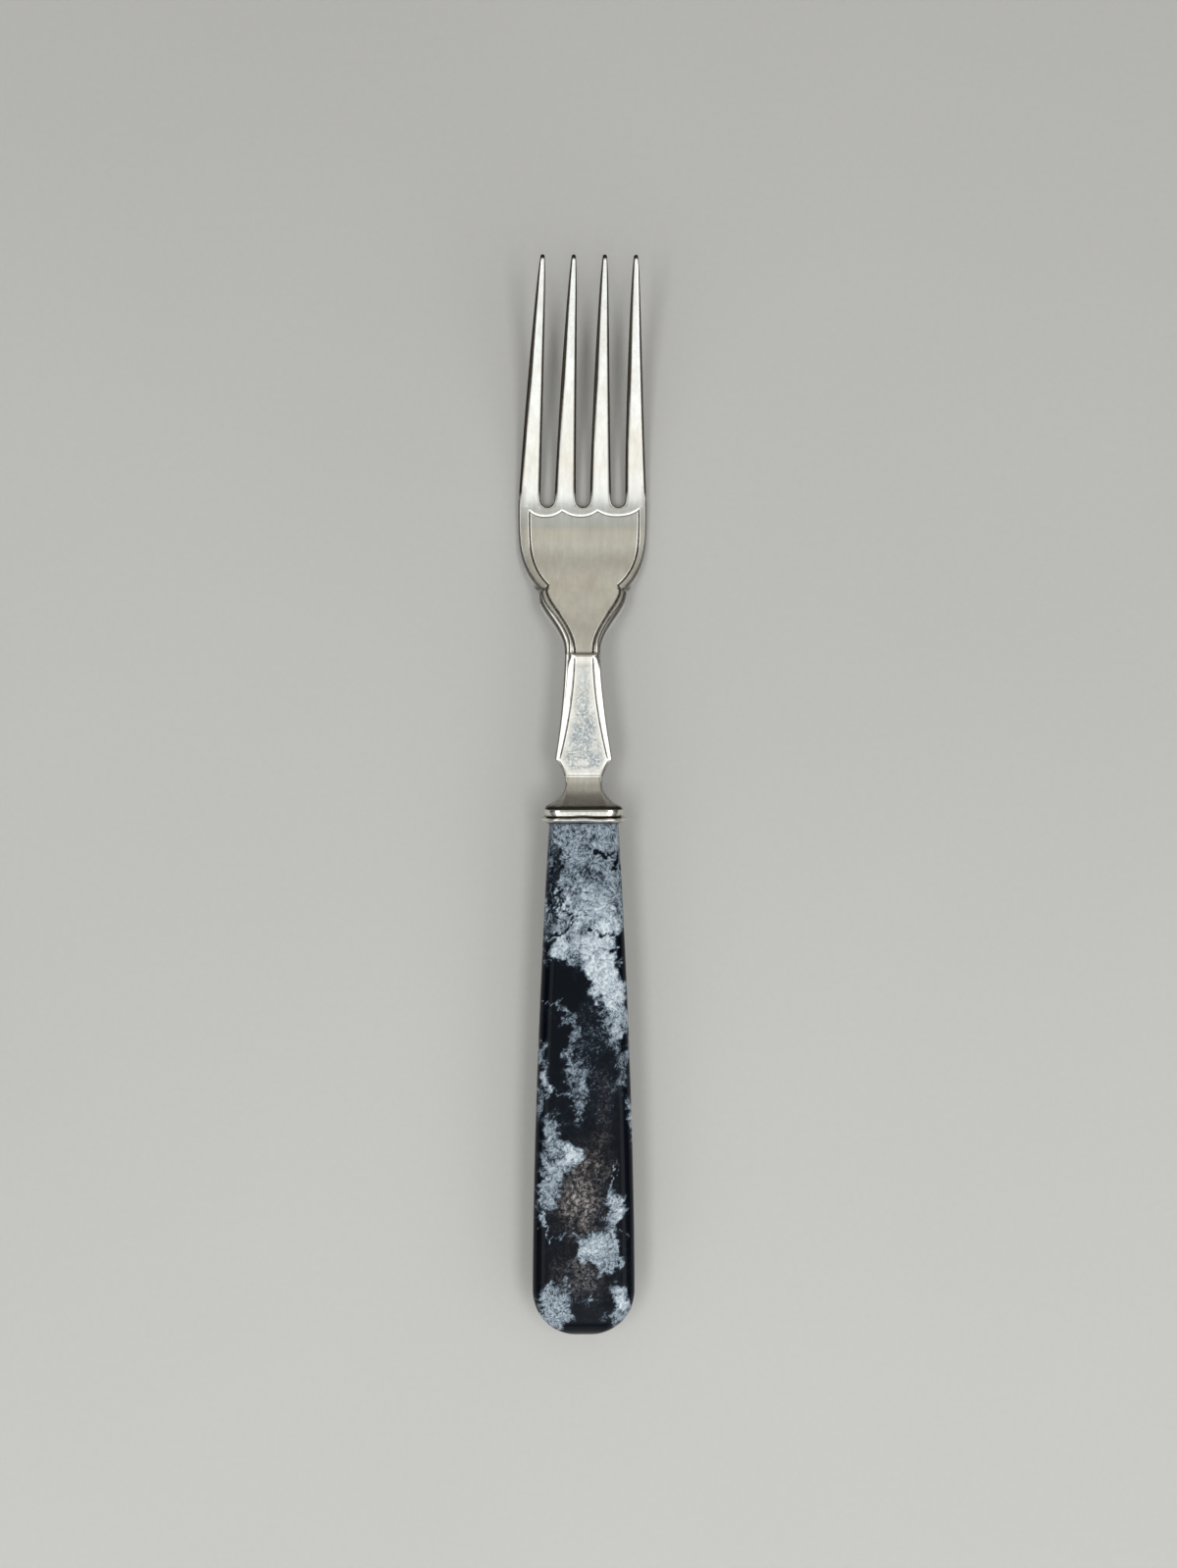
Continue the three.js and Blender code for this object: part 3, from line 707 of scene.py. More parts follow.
# The front lies at most this part of the thickness deep, and the back at least that part
FRONT_PART, BACK_PART = 0.55, 0.5


def fill(knots, cells):
    """Columns through the knots, with the given number of even cells between each two."""
    parts = [a + (b - a) * run(0, 1, n) for a, b, n in zip(knots, knots[1:], cells)]
    return np.concatenate([*parts, knots[-1]], axis=1)


def slot_knots(near, far, edge):
    """Knots at a strip's left edge and just inside it, where the slot's edge is rounded."""
    inset = np.minimum(edge, 0.3 * (far - near))
    return [near, near + 0.25 * inset, near + inset]


def both_edges(near, far, edge):
    """Knots of an inner strip, which has a slot's rounded edge on both sides."""
    knots = slot_knots(near, far, edge)
    return knots + [near + far - knot for knot in reversed(knots)]


def strip_columns(side):
    """Front and back columns of the inner and outer strip of one half, as distances from the middle."""
    y = level_rows
    opening = slot_opening(row_y)[:, None] * (row_bend[:, None] == 0)
    line, arris, edge = line_place(y, side), arris_place(y, side), side_place(y, side)
    slot = np.where(y < SLOT_Y, line * ROOT_PITCH / LINE_BOWL[side], tine_pitch(y))
    inner_front = fill(both_edges(opening, slot - opening, TOP_EDGE), (3, 4, 10, 4, 3))
    inner_back = fill(both_edges(opening, slot - opening, BACK_EDGE), (2, 3, 4, 3, 2))
    near = slot + opening
    line_room = 0.3 * np.minimum(arris - line, line - near)
    line_gap = np.minimum(line_half(y) * steepness(line_place, y, side), line_room)
    arris_room = 0.4 * np.minimum(arris - line, edge - arris)
    arris_gap = np.minimum(ARRIS_HALF * steepness(arris_place, y, side), arris_room)
    groove = [line + line_gap * place for place in (-GUARD, -1, 0, 1, GUARD)]
    start = arris + arris_gap
    moulding = [start + (edge - arris - arris_gap) * math.sin(a) for a in np.linspace(0, math.pi / 2, 7)]
    knots = slot_knots(near, line, TOP_EDGE) + groove + [arris - arris_gap, arris] + moulding
    outer_front = fill(knots, (3, 4, 6, 1, 3, 3, 1, 2, 2, 2) + (1,) * 6)
    rounded = [edge - (edge - near) * 0.45 * (1 - math.sin(a)) for a in np.linspace(0, math.pi / 2, 8)]
    outer_back = fill(slot_knots(near, edge, BACK_EDGE) + rounded, (2, 3, 3) + (1,) * 7)
    return (inner_front, inner_back), (outer_front, outer_back)


# %% Points of the head
TANG_WIDTH, TANG_THICKNESS = 4.4, 3.2
POCKET_DEPTH = 2.6 + FILM
WALL_STEPS = np.linspace(0, 1, 5)
TINY = 1e-9


def lay(x, y, depth, side):
    """Points of the head: on the face line at y, then depth below it, square to the face beyond the waist."""
    height, slope = face_line(y)
    turn = slope * smooth(share(y, WAIST_Y, WAIST_Y + TILT_BLEND))
    across, along, up = side * x + lean(y), y + depth * np.sin(turn), height - depth * np.cos(turn)
    return np.stack(np.broadcast_arrays(across, along, up), -1)


def front_points(x, side):
    """The struck face: mouldings, rounded slot edges and all cuts."""
    y = rows_at(scallop(side * x))
    edge = blend(TOP_EDGE, TIP_TOP_EDGE, share(y, SLOT_Y, TIP_Y))
    slots = round_edge(slot_distance(x, y), edge, edge)
    cut = cuts(x, y, side)[0]
    depth = np.minimum(moulded_depth(x, y, side) + slots + cut, head_thickness(y) * FRONT_PART)
    return lay(x, y, depth, side)


def back_points(x, side):
    """The back: like the face on the shank, and a plain rounded back on the blade."""
    y = level_rows + 0 * x
    thick = head_thickness(y)
    like_face = moulded_depth(x, y, side)
    wide = np.minimum(BACK_ROUND_WIDTH, 0.45 * (side_place(y, side) - tine_pitch(y) * (y > SLOT_Y)))
    deep = np.minimum(BACK_ROUND, thick / 3)
    slot_deep = blend(BACK_EDGE, TIP_BACK_EDGE, share(y, SLOT_Y, TIP_Y))
    outer_edge = round_edge(side_place(y, side) - x, wide, deep)
    slot_edge = round_edge(slot_distance(x, y), slot_deep, np.minimum(slot_deep, deep))
    rise = blend(like_face, np.maximum(outer_edge, slot_edge), smooth(share(y, WAIST_Y, WAIST_Y + TILT_BLEND)))
    return lay(x, y, np.maximum(thick - rise, thick * BACK_PART), side)


def wall(front_edge, back_edge):
    """A side wall: straight lines from the face's edge to the back's edge."""
    return front_edge[:, None] + (back_edge - front_edge)[:, None] * WALL_STEPS[None, :, None]


def box_reach(angle, half_width, half_height):
    """Distance from the middle of a rectangle to its edge in the direction of an angle."""
    to_side = half_width / np.maximum(np.abs(np.cos(angle)), TINY)
    to_top = half_height / np.maximum(np.abs(np.sin(angle)), TINY)
    return np.minimum(to_side, to_top)


def with_pocket(patch):
    """Carries the bell's foot inwards to the rim of the tang's pocket, down its walls and across its floor."""
    foot = patch[0]
    angle = np.arctan2(foot[:, 2], foot[:, 0])
    reach = box_reach(angle, TANG_WIDTH / 2 + FILM, TANG_THICKNESS / 2 + FILM)
    rim = np.stack([reach * np.cos(angle), 0 * angle + BELL_Y, reach * np.sin(angle)], -1)
    floor = rim + [0, POCKET_DEPTH, 0]
    middle = 0 * rim + [0, BELL_Y + POCKET_DEPTH, 0]
    return np.concatenate([np.stack([middle, floor, rim]), patch])


def with_nose(patch, middle):
    """Closes a tine with a rounded nose: the last section shrinks as the cosine while y runs on as the sine."""
    angles = np.linspace(0, math.pi / 2, 7)[1:, None, None]
    last = patch[-1][None]
    nose = middle + (last - middle) * np.cos(angles) + np.array([0, TIP_NOSE, 0]) * np.sin(angles)
    return np.concatenate([patch, nose])


def strip_patches(columns, side, is_outer):
    """All patches of one strip: front, back, and the walls along its free edges."""
    front, back = front_points(columns[0], side), back_points(columns[1], side)
    outer_wall = wall(front[:, -1], back[:, -1])
    slot_wall = wall(front[:, 0], back[:, 0])[FIRST_TINE_ROW:]
    middle = (front[-1].mean(0) + back[-1].mean(0)) / 2
    if is_outer:
        far_wall = with_pocket(outer_wall)
    else:
        far_wall = outer_wall[FIRST_TINE_ROW:]
    return [with_nose(p, middle) for p in (with_pocket(front), with_pocket(back), slot_wall, far_wall)]


head_patches = []
for side in (1, -1):
    inner, outer = strip_columns(side)
    head_patches += strip_patches(inner, side, False) + strip_patches(outer, side, True)
print(len(head_patches), "patches,", sum(p.shape[0] * p.shape[1] for p in head_patches), "grid points")

# %% [markdown]
# ## From grids to closed pieces
# Each patch is a rectangle of points. Neighbouring patches give the same points along their shared edges, so putting
# equal points together sews them into one closed skin. Cells that shrink to nothing at a tip drop out on the way.

# %% Sewing patches together


def grid_triangles(rows, columns, first):
    """Two triangles for each cell of a grid of points, whose numbers start at first."""
    number = first + np.arange(rows * columns).reshape(rows, columns)
    a, b, c, d = number[:-1, :-1], number[:-1, 1:], number[1:, 1:], number[1:, :-1]
    return np.concatenate([np.stack([a, b, c], -1).reshape(-1, 3), np.stack([a, c, d], -1).reshape(-1, 3)])


def sew(patches):
    """Points and triangles of all patches, with equal points put together and empty triangles dropped."""
    counts = np.cumsum([0] + [p.shape[0] * p.shape[1] for p in patches])
    points = np.concatenate([p.reshape(-1, 3) for p in patches])
    triangles = np.concatenate([grid_triangles(*p.shape[:2], n) for p, n in zip(patches, counts)])
    _, first, same = np.unique(np.round(points, 4), axis=0, return_index=True, return_inverse=True)
    triangles = same.reshape(-1)[triangles]
    a, b, c = triangles.T
    return points[first], triangles[(a != b) & (b != c) & (c != a)]


def new_piece(name, patches, node, finish):
    """A closed, smooth piece on the table that stands for a CAD node; returns it with its points on the fork's axis."""
    points, triangles = sew(patches)
    mesh = bpy.data.meshes.new(name)
    mesh.from_pydata(on_table(points), [], triangles)
    skin = bmesh.new()
    skin.from_mesh(mesh)
    bmesh.ops.recalc_face_normals(skin, faces=skin.faces)
    open_edges = sum(not e.is_manifold for e in skin.edges)
    volume = skin.calc_volume(signed=True)
    skin.to_mesh(mesh)
    skin.free()
    mesh.shade_smooth()
    mesh.materials.append(finish)
    piece = bpy.data.objects.new(name, mesh)
    bpy.context.collection.objects.link(piece)
    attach(piece, "root")
    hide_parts(node)
    print(f"{name}: {len(triangles)} triangles, {open_edges} open edges, {volume * 1e9:.0f} mm3")
    return piece, points


def store(piece, name, values):
    """Writes one number per point of a piece as a named attribute for its finish to read."""
    layer = piece.data.attributes.new(name, "FLOAT", "POINT")
    layer.data.foreach_set("value", np.asarray(values, np.float32))


# %% [markdown]
# ## Old silver
# Silver plate that has been used for decades is bright but not a mirror: fine lengthwise polishing lines, small
# random scratches on the flat panel, a warm bloom of tarnish, and black dirt that no cloth reaches in the cuts. Painted
# shade darkens its edges, walls, notches, creases and joints as well. The finish mixes these by noise on the object's
# coordinates and by three numbers stored on the points: how much dirt and painted shade a point holds, how much of the
# panel's mottled wear it shows, and how matte its polish is.

# %% Silver finish
STREAK_GREY, TARNISH_BROWN = (0.56, 0.55, 0.52), (0.56, 0.46, 0.35)
# The last colour is the black of dirt in the cuts and of painted shade on edges, walls and creases.
WORN_BLUE, DIRT_AND_SHADE_BLACK = (0.30, 0.35, 0.39), (0.035, 0.029, 0.022)
HEAD_BLOOM, HEAD_BRIGHT = 0.26, (0.86, 0.85, 0.81)
FITTING_BLOOM, FITTING_BRIGHT = 0.40, (0.86, 0.84, 0.78)


def scratches(finish):
    """Fine scratches in two directions: the crests of noise that is drawn out along each of them."""
    ways = (((4200, 160, 2000), 28), ((4600, 190, 2000), -40))
    fields = [finish.noise(1.0, detail=1, vector=finish.stretched(scale, turn)) for scale, turn in ways]
    return finish.sum("MAXIMUM", *[finish.ramp(field, (0.66, 0.0), (0.72, 1.0)) for field in fields])


def silver_finish(name, bloom, bright):
    """Worn silver plate; bloom is how much warm tarnish it has, bright its clean colour."""
    finish = Finish(name)
    grime_and_shade, mottle, matte = [finish.attribute(mark) for mark in ("grime_and_shade", "mottle", "matte")]
    brushed = finish.noise(1.0, detail=3, roughness=0.6, vector=finish.stretched((5200, 90, 5200)))
    streaks = finish.noise(1.0, detail=3, roughness=0.6, vector=finish.stretched((1100, 45, 1100)))
    pits = finish.noise(2300, detail=4, roughness=0.65, distortion=0.6)
    patches = finish.noise(640, detail=3, roughness=0.6)
    clouds = finish.noise(170, detail=4, roughness=0.6)
    colour = finish.between(finish.ramp(streaks, (0.35, 0.0), (0.70, 0.35)), bright, STREAK_GREY)
    tarnish = finish.times(finish.ramp(clouds, (0.42, 0.0), (0.68, 1.0)), bloom)
    colour = finish.between(tarnish, colour, TARNISH_BROWN)
    worn = finish.times(finish.ramp(pits, (0.39, 0.0), (0.54, 1.0)), finish.ramp(patches, (0.36, 0.25), (0.52, 1.0)))
    wear = finish.times(finish.times(worn, mottle), 0.95)
    colour = finish.between(wear, colour, WORN_BLUE)
    # Dirt in the cuts and painted shade elsewhere, both black, spotted by the pits.
    dirt_and_shade = finish.times(grime_and_shade, finish.ramp(pits, (0.25, 0.75), (0.6, 1.0)))
    colour = finish.between(dirt_and_shade, colour, DIRT_AND_SHADE_BLACK)
    rough = finish.plus(finish.times(brushed, 0.14), finish.times(matte, 0.26), finish.times(dirt_and_shade, 0.3), 0.09)
    scored = finish.times(finish.times(scratches(finish), mottle), -0.6)
    relief = finish.plus(finish.times(brushed, 0.5), scored)
    return finish.dress(Base_Color=colour, Roughness=rough, Normal=finish.bump(relief, 0.000012), Metallic=1.0)


head_silver = silver_finish("old_silver_plate", HEAD_BLOOM, HEAD_BRIGHT)
fitting_silver = silver_finish("tarnished_silver_fittings", FITTING_BLOOM, FITTING_BRIGHT)

# %% The head
head, head_points = new_piece("silver_head", head_patches, "fork_head", head_silver)

# %% Dirt and painted shade on the blade
# How dark each kind of painted shade on the blade is, from 0 to 1; over 1 the pits leave no bright spots in it.
TINE_SHADE = 1.25
EDGE_SHADE, OUTLINE_SHADE, NOTCH_SHADE, RIM_SHADE = 0.75, 0.85, 0.9, 0.42
RIGHT_SHOULDER_SHADE, LEFT_SHOULDER_SHADE = 0.5, 0.25
# Where a bevel's painted shade ends and where it is full, in millimetres and at most as a share of the tine's
# half-width.
LEFT_BEVEL = ((0.80, 0.60), (0.52, 0.42))
RIGHT_BEVEL = ((0.48, 0.42), (0.28, 0.26))


def bevel(distance, half, wide, stops):
    """1 close to a tine's edge and 0 further in, between two distances from the edge."""
    end, full = [wide * np.minimum(size, part * half) for size, part in stops]
    return share(distance, end, full)


def tine_edge_shade(x, y):
    """Painted shade on each tine's edges, broader left than right, round the slots' roots and at the tips."""
    half = tine_width(y) / 2
    number = np.clip(np.round((x - lean(y)) / tine_pitch(y) - 0.5), -2, 1) + 0.5
    beside = x - lean(y) - number * tine_pitch(y)
    left = bevel(half + beside, half, blend(0.6, 1.0, share(y, SLOT_Y + 4, SLOT_Y + 22)), LEFT_BEVEL)
    right = bevel(half - beside, half, 1.0, RIGHT_BEVEL)
    tip = share(y, TIP_Y - 1.0, TIP_Y - 0.5)
    sides = TINE_SHADE * np.max([left, right, tip], axis=0) * share(y, SLOT_Y + 0.2, SLOT_Y + 3)
    root = share(slot_distance(np.abs(x - lean(y)), y), 0.30, 0.12) * share(y, SLOT_Y + 4, SLOT_Y + 2)
    return np.maximum(sides, root)


def either_side(curve, x, y):
    """A curve's value at y, on the side of the head on which x lies."""
    return np.where(x > 0, curve(y, 1), curve(y, -1))


def blade_dirt_and_shade(x, y, below):
    """Dirt in the cuts; painted shade on the edges, notches, outline, rim and shoulders, heavier on the right shoulder.
    """
    across = np.abs(x - lean(y))
    line, arris = either_side(line_place, x, y), either_side(arris_place, x, y)
    reach = across - either_side(side_place, x, y)
    in_cuts = (below < 0.8) * np.where(x > lean(y), cuts(across, y, 1)[1], cuts(across, y, -1)[1])
    edge = np.where(y < CUSP_Y, share(below, 0.85, 1.1), share(below, 0.12, 0.35)) * EDGE_SHADE * (y > WAIST_Y + 2)
    edge = np.maximum(edge, tine_edge_shade(x, y)) * share(below, 1.1, 0.55)
    notch = NOTCH_SHADE * hump(y, NICK_Y + 0.4, 0.6) * share(reach, -1.2, -0.6)
    outline = OUTLINE_SHADE * share(reach, -0.52, -0.24) * share(below, 1.6, 0.9)
    outline = outline * (y > WAIST_Y) * share(y, SLOT_Y + 3, SLOT_Y + 1)
    rim = RIM_SHADE * share(across, line, across - reach) * (y > CUSP_Y) * (y < SLOT_Y + 4) * (below < 1)
    shoulder = np.where(x > 0, RIGHT_SHOULDER_SHADE, LEFT_SHOULDER_SHADE) * (y < NICK_Y) * (below < 1.2)
    shoulder = shoulder * span(across, line, line + 0.3, arris - 0.3, arris) * share(y, WAIST_Y + 0.5, WAIST_Y + 2.5)
    return np.max([in_cuts, edge, notch, outline, rim, shoulder], axis=0)


# %% Painted shade and wear on the shank
# How dark each painted shade on the shank is, from 0 to 1, heavier beside the neck on the right.
FOOT_SHADE, BELL_SHADE, CREASE_SHADE, FLANK_SHADE = 0.85, 0.66, 0.5, 0.75
RIGHT_NECK_SHADE, LEFT_NECK_SHADE = 0.8, 0.5


def shank_painted_shade(x, y, below):
    """Painted shade at the bell's foot, up the bell, in the crease under the bowl, down the flanks and beside the neck.
    """
    reach = np.abs(x - lean(y)) - either_side(side_place, x, y)
    foot = FOOT_SHADE * hump(y, BELL_Y, 0.35) + BELL_SHADE * share(y, CREASE_Y - 0.4, BELL_Y + 1.0)
    crease = CREASE_SHADE * hump(y, WAIST_Y + 0.15, 0.28) * (below < 0.8)
    flanks = FLANK_SHADE * share(reach, -0.36, -0.14) * share(below, 2.2, 1.2) * (y < WAIST_Y) * (y > BELL_Y + 0.5)
    neck = np.where(x > 0, RIGHT_NECK_SHADE, LEFT_NECK_SHADE) * share(reach, -0.8, -0.15) * share(below, 2.4, 1.0)
    neck = neck * span(y, BELL_Y + 0.4, BELL_Y + 1.0, KNEE_Y - 1.5, KNEE_Y)
    return np.max([foot, crease, flanks, neck], axis=0)


def panel_wear(x, y):
    """The panel's mottled wear, which fades towards the waist, and its matte polish."""
    inside = either_side(line_place, x, y) - np.abs(x - lean(y))
    fading = blend(1.0, 0.45, share(y, KNEE_Y + 8, WAIST_Y - 2)) * (y < WAIST_Y - 1.8)
    mottle = share(y, CREASE_Y + 0.2, CREASE_Y + 1.6) * fading * share(inside, 0.2, 1.3)
    matte = span(y, CREASE_Y, CREASE_Y + 0.6, WAIST_Y - 2.4, WAIST_Y - 0.8) * share(inside, 0, 0.3)
    return mottle, matte


head_x, head_y, head_z = head_points.T
below_face = face_line(head_y)[0] - head_z
# Dirt in the cuts and painted shade everywhere else, from the blade and the shank.
on_blade, on_shank = [dirt_and_shade(head_x, head_y, below_face) for dirt_and_shade in (blade_dirt_and_shade, shank_painted_shade)]
for mark, values in zip(("grime_and_shade", "mottle", "matte"), (np.maximum(on_blade, on_shank), *panel_wear(head_x, head_y))):
    store(head, mark, values)
print(f"{np.mean(on_blade > 0.5):.0%} of the head's points lie in the blade's dirt")

# %% [markdown]
# ## Bolster band and ferrule plate
# Between bell and handle sit a rounded band and a thin plate with a sharp rim, both on the tang. Each is a profile
# carried round the handle's rounded-rectangle outline: out along one face, over the rim, back along the other face
# and down the hole for the tang. Old hand-fitted plates are never quite even, so their rims waver a little.

# %% Rings round the axis
CORNER_RADIUS = 2.6
RING_STEPS = 180
HOLE_RADIUS = 0.01
BAND_OVERHANG, FERRULE_OVERHANG = 0.8, 1.4
FERRULE_RIM = ((0.0, 0.25), (0.08, 0.65), (0.22, 0.94), (0.34, 1.0), (0.5, 0.93), (0.8, 0.58), (1.0, 0.3))
# Painted shade on each plate next to its joints: how dark it is and how far it reaches
JOINT_SHADE, JOINT_REACH = 0.95, 0.16
FITTING_MOTTLE = 0.3


def rounded_rectangle(angle, width, thickness, radius):
    """Point at an angle from the middle on a rectangle with rounded corners, found as a box plus a rounded rim."""
    half_w, half_t = width / 2 - radius, thickness / 2 - radius
    c, s = np.cos(angle), np.sin(angle)
    flat = box_reach(angle, half_w + radius, half_t + radius)
    b = np.abs(c) * half_w + np.abs(s) * half_t
    inside = b * b - (half_w**2 + half_t**2 - radius**2)
    corner = b + np.sqrt(np.maximum(inside, 0))
    x, z = flat * np.abs(c), flat * np.abs(s)
    reach = np.where((x > half_w) & (z > half_t), corner, flat)
    return np.stack([reach * c, reach * s], -1)


ring_angle = np.linspace(0, 2 * math.pi, RING_STEPS + 1)
ring_angle[-1] = 0


def plate_patch(low_y, thickness, overhang, rim, waver):
    """A plate round the tang: rows run out over the front face, round the rim and back over the rear face.

    The rim's form comes as (way, bulge) pairs: way 0 to 1 from front to rear, bulge as a share of the overhang.
    """
    outline = rounded_rectangle(ring_angle, SEAT_WIDTH, SEAT_THICKNESS, CORNER_RADIUS)
    outward = outline / np.linalg.norm(outline, axis=-1, keepdims=True)
    hole = rounded_rectangle(ring_angle, TANG_WIDTH + 2 * FILM, TANG_THICKNESS + 2 * FILM, HOLE_RADIUS)
    offset, lift = waver(ring_angle)
    rows = []
    for way, bulge in ((0, None), *rim, (1, None), (0, None)):
        y = low_y + thickness * (1 - way) + lift
        plan = hole if bulge is None else outline + outward * (overhang * bulge + offset * bulge)[:, None]
        rows.append(np.stack([plan[:, 0], y, plan[:, 1]], -1))
    return np.stack(rows)


def bullnose(count, start, skew):
    """A rim rounded from front to rear, starting at a share of the overhang; a skew over 1 moves its crest forward."""
    a = np.linspace(0, math.pi, count)
    return [(((1 - math.cos(t)) / 2) ** skew, start + (1 - start) * math.sin(t) ** 0.8) for t in a]


def band_waver(angle):
    """The band is almost even."""
    out = 0.04 * np.sin(3 * angle + 1.0) + 0.03 * np.sin(7 * angle)
    up = 0.03 * np.sin(2 * angle + 0.4)
    return out, up


def ferrule_waver(angle):
    """The ferrule's rim wanders out and in and up and down, with one drawn-out burr at the right."""
    burr = 0.25 * hump(np.angle(np.exp(1j * (angle - 0.35))), 0, 0.12)
    out = 0.08 * np.sin(5 * angle) + 0.05 * np.sin(11 * angle + 2) + burr
    up = 0.06 * np.sin(4 * angle + 1) + 0.04 * np.sin(9 * angle)
    return out, up


band_patch = plate_patch(BAND_Y, BAND_THICKNESS, BAND_OVERHANG, bullnose(17, 0.35, 1.7), band_waver)
ferrule_patch = plate_patch(FERRULE_Y, FERRULE_THICKNESS, FERRULE_OVERHANG, FERRULE_RIM, ferrule_waver)
for name, node, patch, low, high in (
    ("bolster_ring", "bolster_band", band_patch, BAND_Y, BAND_Y + BAND_THICKNESS),
    ("ferrule_flange", "ferrule_plate", ferrule_patch, FERRULE_Y, BAND_Y),
):
    piece, points = new_piece(name, [patch], node, fitting_silver)
    away = np.minimum(points[:, 1] - low, high - points[:, 1])
    # Painted shade, darkest at the joints on both faces of the plate.
    store(piece, "grime_and_shade", JOINT_SHADE * hump(np.maximum(away, 0), 0, JOINT_REACH))
    store(piece, "mottle", FITTING_MOTTLE + 0 * away)

# %% [markdown]
# ## Handle
# The handle is cast resin: a tapered bar with flat faces, rounded corners and a full round butt. Its surface is a
# rounded rectangle carried along the axis. At the seat the surface turns inwards and goes on down the socket that
# holds the cement, so that the piece is a true shell round its socket.

# %% Handle surface
CEMENT_WALL = 0.6
SOCKET_RADIUS = math.hypot(TANG_WIDTH, TANG_THICKNESS) / 2 + FILM + CEMENT_WALL
SOCKET_DEPTH = 58
HANDLE_SWEEP = 1.65
QUARTER_CELLS = (20, 12, 10)
BUTT_ROWS, BODY_ROWS = 30, 270


def handle_ring(y):
    """Half-widths of the section at y: swelling sides, straight faces, both rounded off at the butt."""
    u = share(y, 0, BUTT_ROUND - HANDLE_LENGTH)
    end = share(y, -HANDLE_LENGTH, BUTT_ROUND - HANDLE_LENGTH)
    rounding = np.maximum(1 - (1 - end) ** BUTT_FULLNESS, 0) ** (1 / BUTT_FULLNESS)
    width = rounding * blend(BUTT_WIDTH, SEAT_WIDTH, (1 - u) ** HANDLE_SWEEP)
    thickness = rounding * blend(SEAT_THICKNESS, BUTT_THICKNESS, u)
    return width, thickness, rounding * CORNER_RADIUS


def quarter(count_top, count_corner, count_side):
    """Steps of a quarter section: (along the top, round the corner, down the side), each from 0 to 1."""
    top = np.stack([run(0, 1, count_top), np.zeros(count_top), np.zeros(count_top)], -1)
    corner = np.stack([np.ones(count_corner), run(0, 1, count_corner), np.zeros(count_corner)], -1)
    side = np.stack([np.ones(count_side), np.ones(count_side), run(0, 1, count_side)], -1)
    return np.concatenate([top, corner, side])


def ring_points(y):
    """Sections at every y: a quarter with even steps, mirrored to all four quarters."""
    width, thickness, radius = (v[:, None] for v in handle_ring(y))
    top, corner, down = quarter(*QUARTER_CELLS).T
    x = (width / 2 - radius) * top + radius * np.sin(corner * math.pi / 2)
    z = (thickness / 2 - radius) * (1 - down) + radius * np.cos(corner * math.pi / 2)
    first = np.stack([x, z], -1)
    lower_x = np.concatenate([width / 2 + 0 * x[:, :1], x[:, :0:-1]], 1)
    lower_z = np.concatenate([0 * z[:, :1], -z[:, :0:-1]], 1)
    second = np.stack([lower_x, lower_z], -1)
    half = np.concatenate([first, second], 1)
    bottom = np.stack([0 * width, -thickness / 2], -1)
    other = half[:, :0:-1] * [-1, 1]
    ring = np.concatenate([half, bottom, other, half[:, :1]], 1)
    return np.stack([ring[..., 0], np.broadcast_to(y[:, None], ring.shape[:2]), ring[..., 1]], -1)


butt_rows = -HANDLE_LENGTH + BUTT_ROUND * (1 - np.cos(np.linspace(0, math.pi / 2, BUTT_ROWS)))
handle_rows = np.concatenate([butt_rows, np.linspace(BUTT_ROUND - HANDLE_LENGTH, 0, BODY_ROWS)[1:]])
handle_patch = ring_points(handle_rows)
seat_angle = np.arctan2(handle_patch[-1, :, 2], handle_patch[-1, :, 0])
mouth = SOCKET_RADIUS * np.stack([np.cos(seat_angle), 0 * seat_angle, np.sin(seat_angle)], -1)
socket = [mouth, mouth - [0, SOCKET_DEPTH, 0], 0 * mouth - [0, SOCKET_DEPTH + SOCKET_RADIUS / 2, 0]]
handle_patch = np.concatenate([handle_patch, np.stack(socket)])
print("handle grid", handle_patch.shape)

# %% [markdown]
# ## Marbling
# The resin was poured in black and stirred with white, so clouds, veins and bare black lie next to one another. A
# painter would lay them one over another, and so does this cell: each cloud is a soft ellipse in millimetres on the
# handle, with its edge torn by seeded ripples, and each vein is a soft line through a few points. The tone they
# leave on the points runs from 0, black, to 1, white. A second number marks scuffs on the flat front, which are
# rougher and carry a painted brown sheen with pale glints.

# %% Ripples that tear the edges
WAVES = 10
# Each pull: length of the ripples and how far they move a place
PULLS = ((7.0, 0.6), (2.6, 0.4), (1.1, 0.25))


def ripples(x, y, length, seed):
    """Seeded noise about 0 with a given wave length: ten plane waves in random directions, added up."""
    dice = np.random.default_rng(seed)
    turn = dice.uniform(0, 2 * math.pi, WAVES)
    pace = 2 * math.pi / length * dice.uniform(0.7, 1.4, WAVES)
    start = dice.uniform(0, 2 * math.pi, WAVES)
    waves = np.sin(np.outer(x, pace * np.cos(turn)) + np.outer(y, pace * np.sin(turn)) + start)
    return waves.sum(1) / math.sqrt(WAVES)


def torn(x, y, seed):
    """Places moved about by ripples of three lengths, so that even shapes painted at them get torn edges."""
    across, along = [
        sum(far * ripples(x, y, length, first + i) for i, (length, far) in enumerate(PULLS))
        for first in (seed, seed + 50)
    ]
    return x + across, y + along


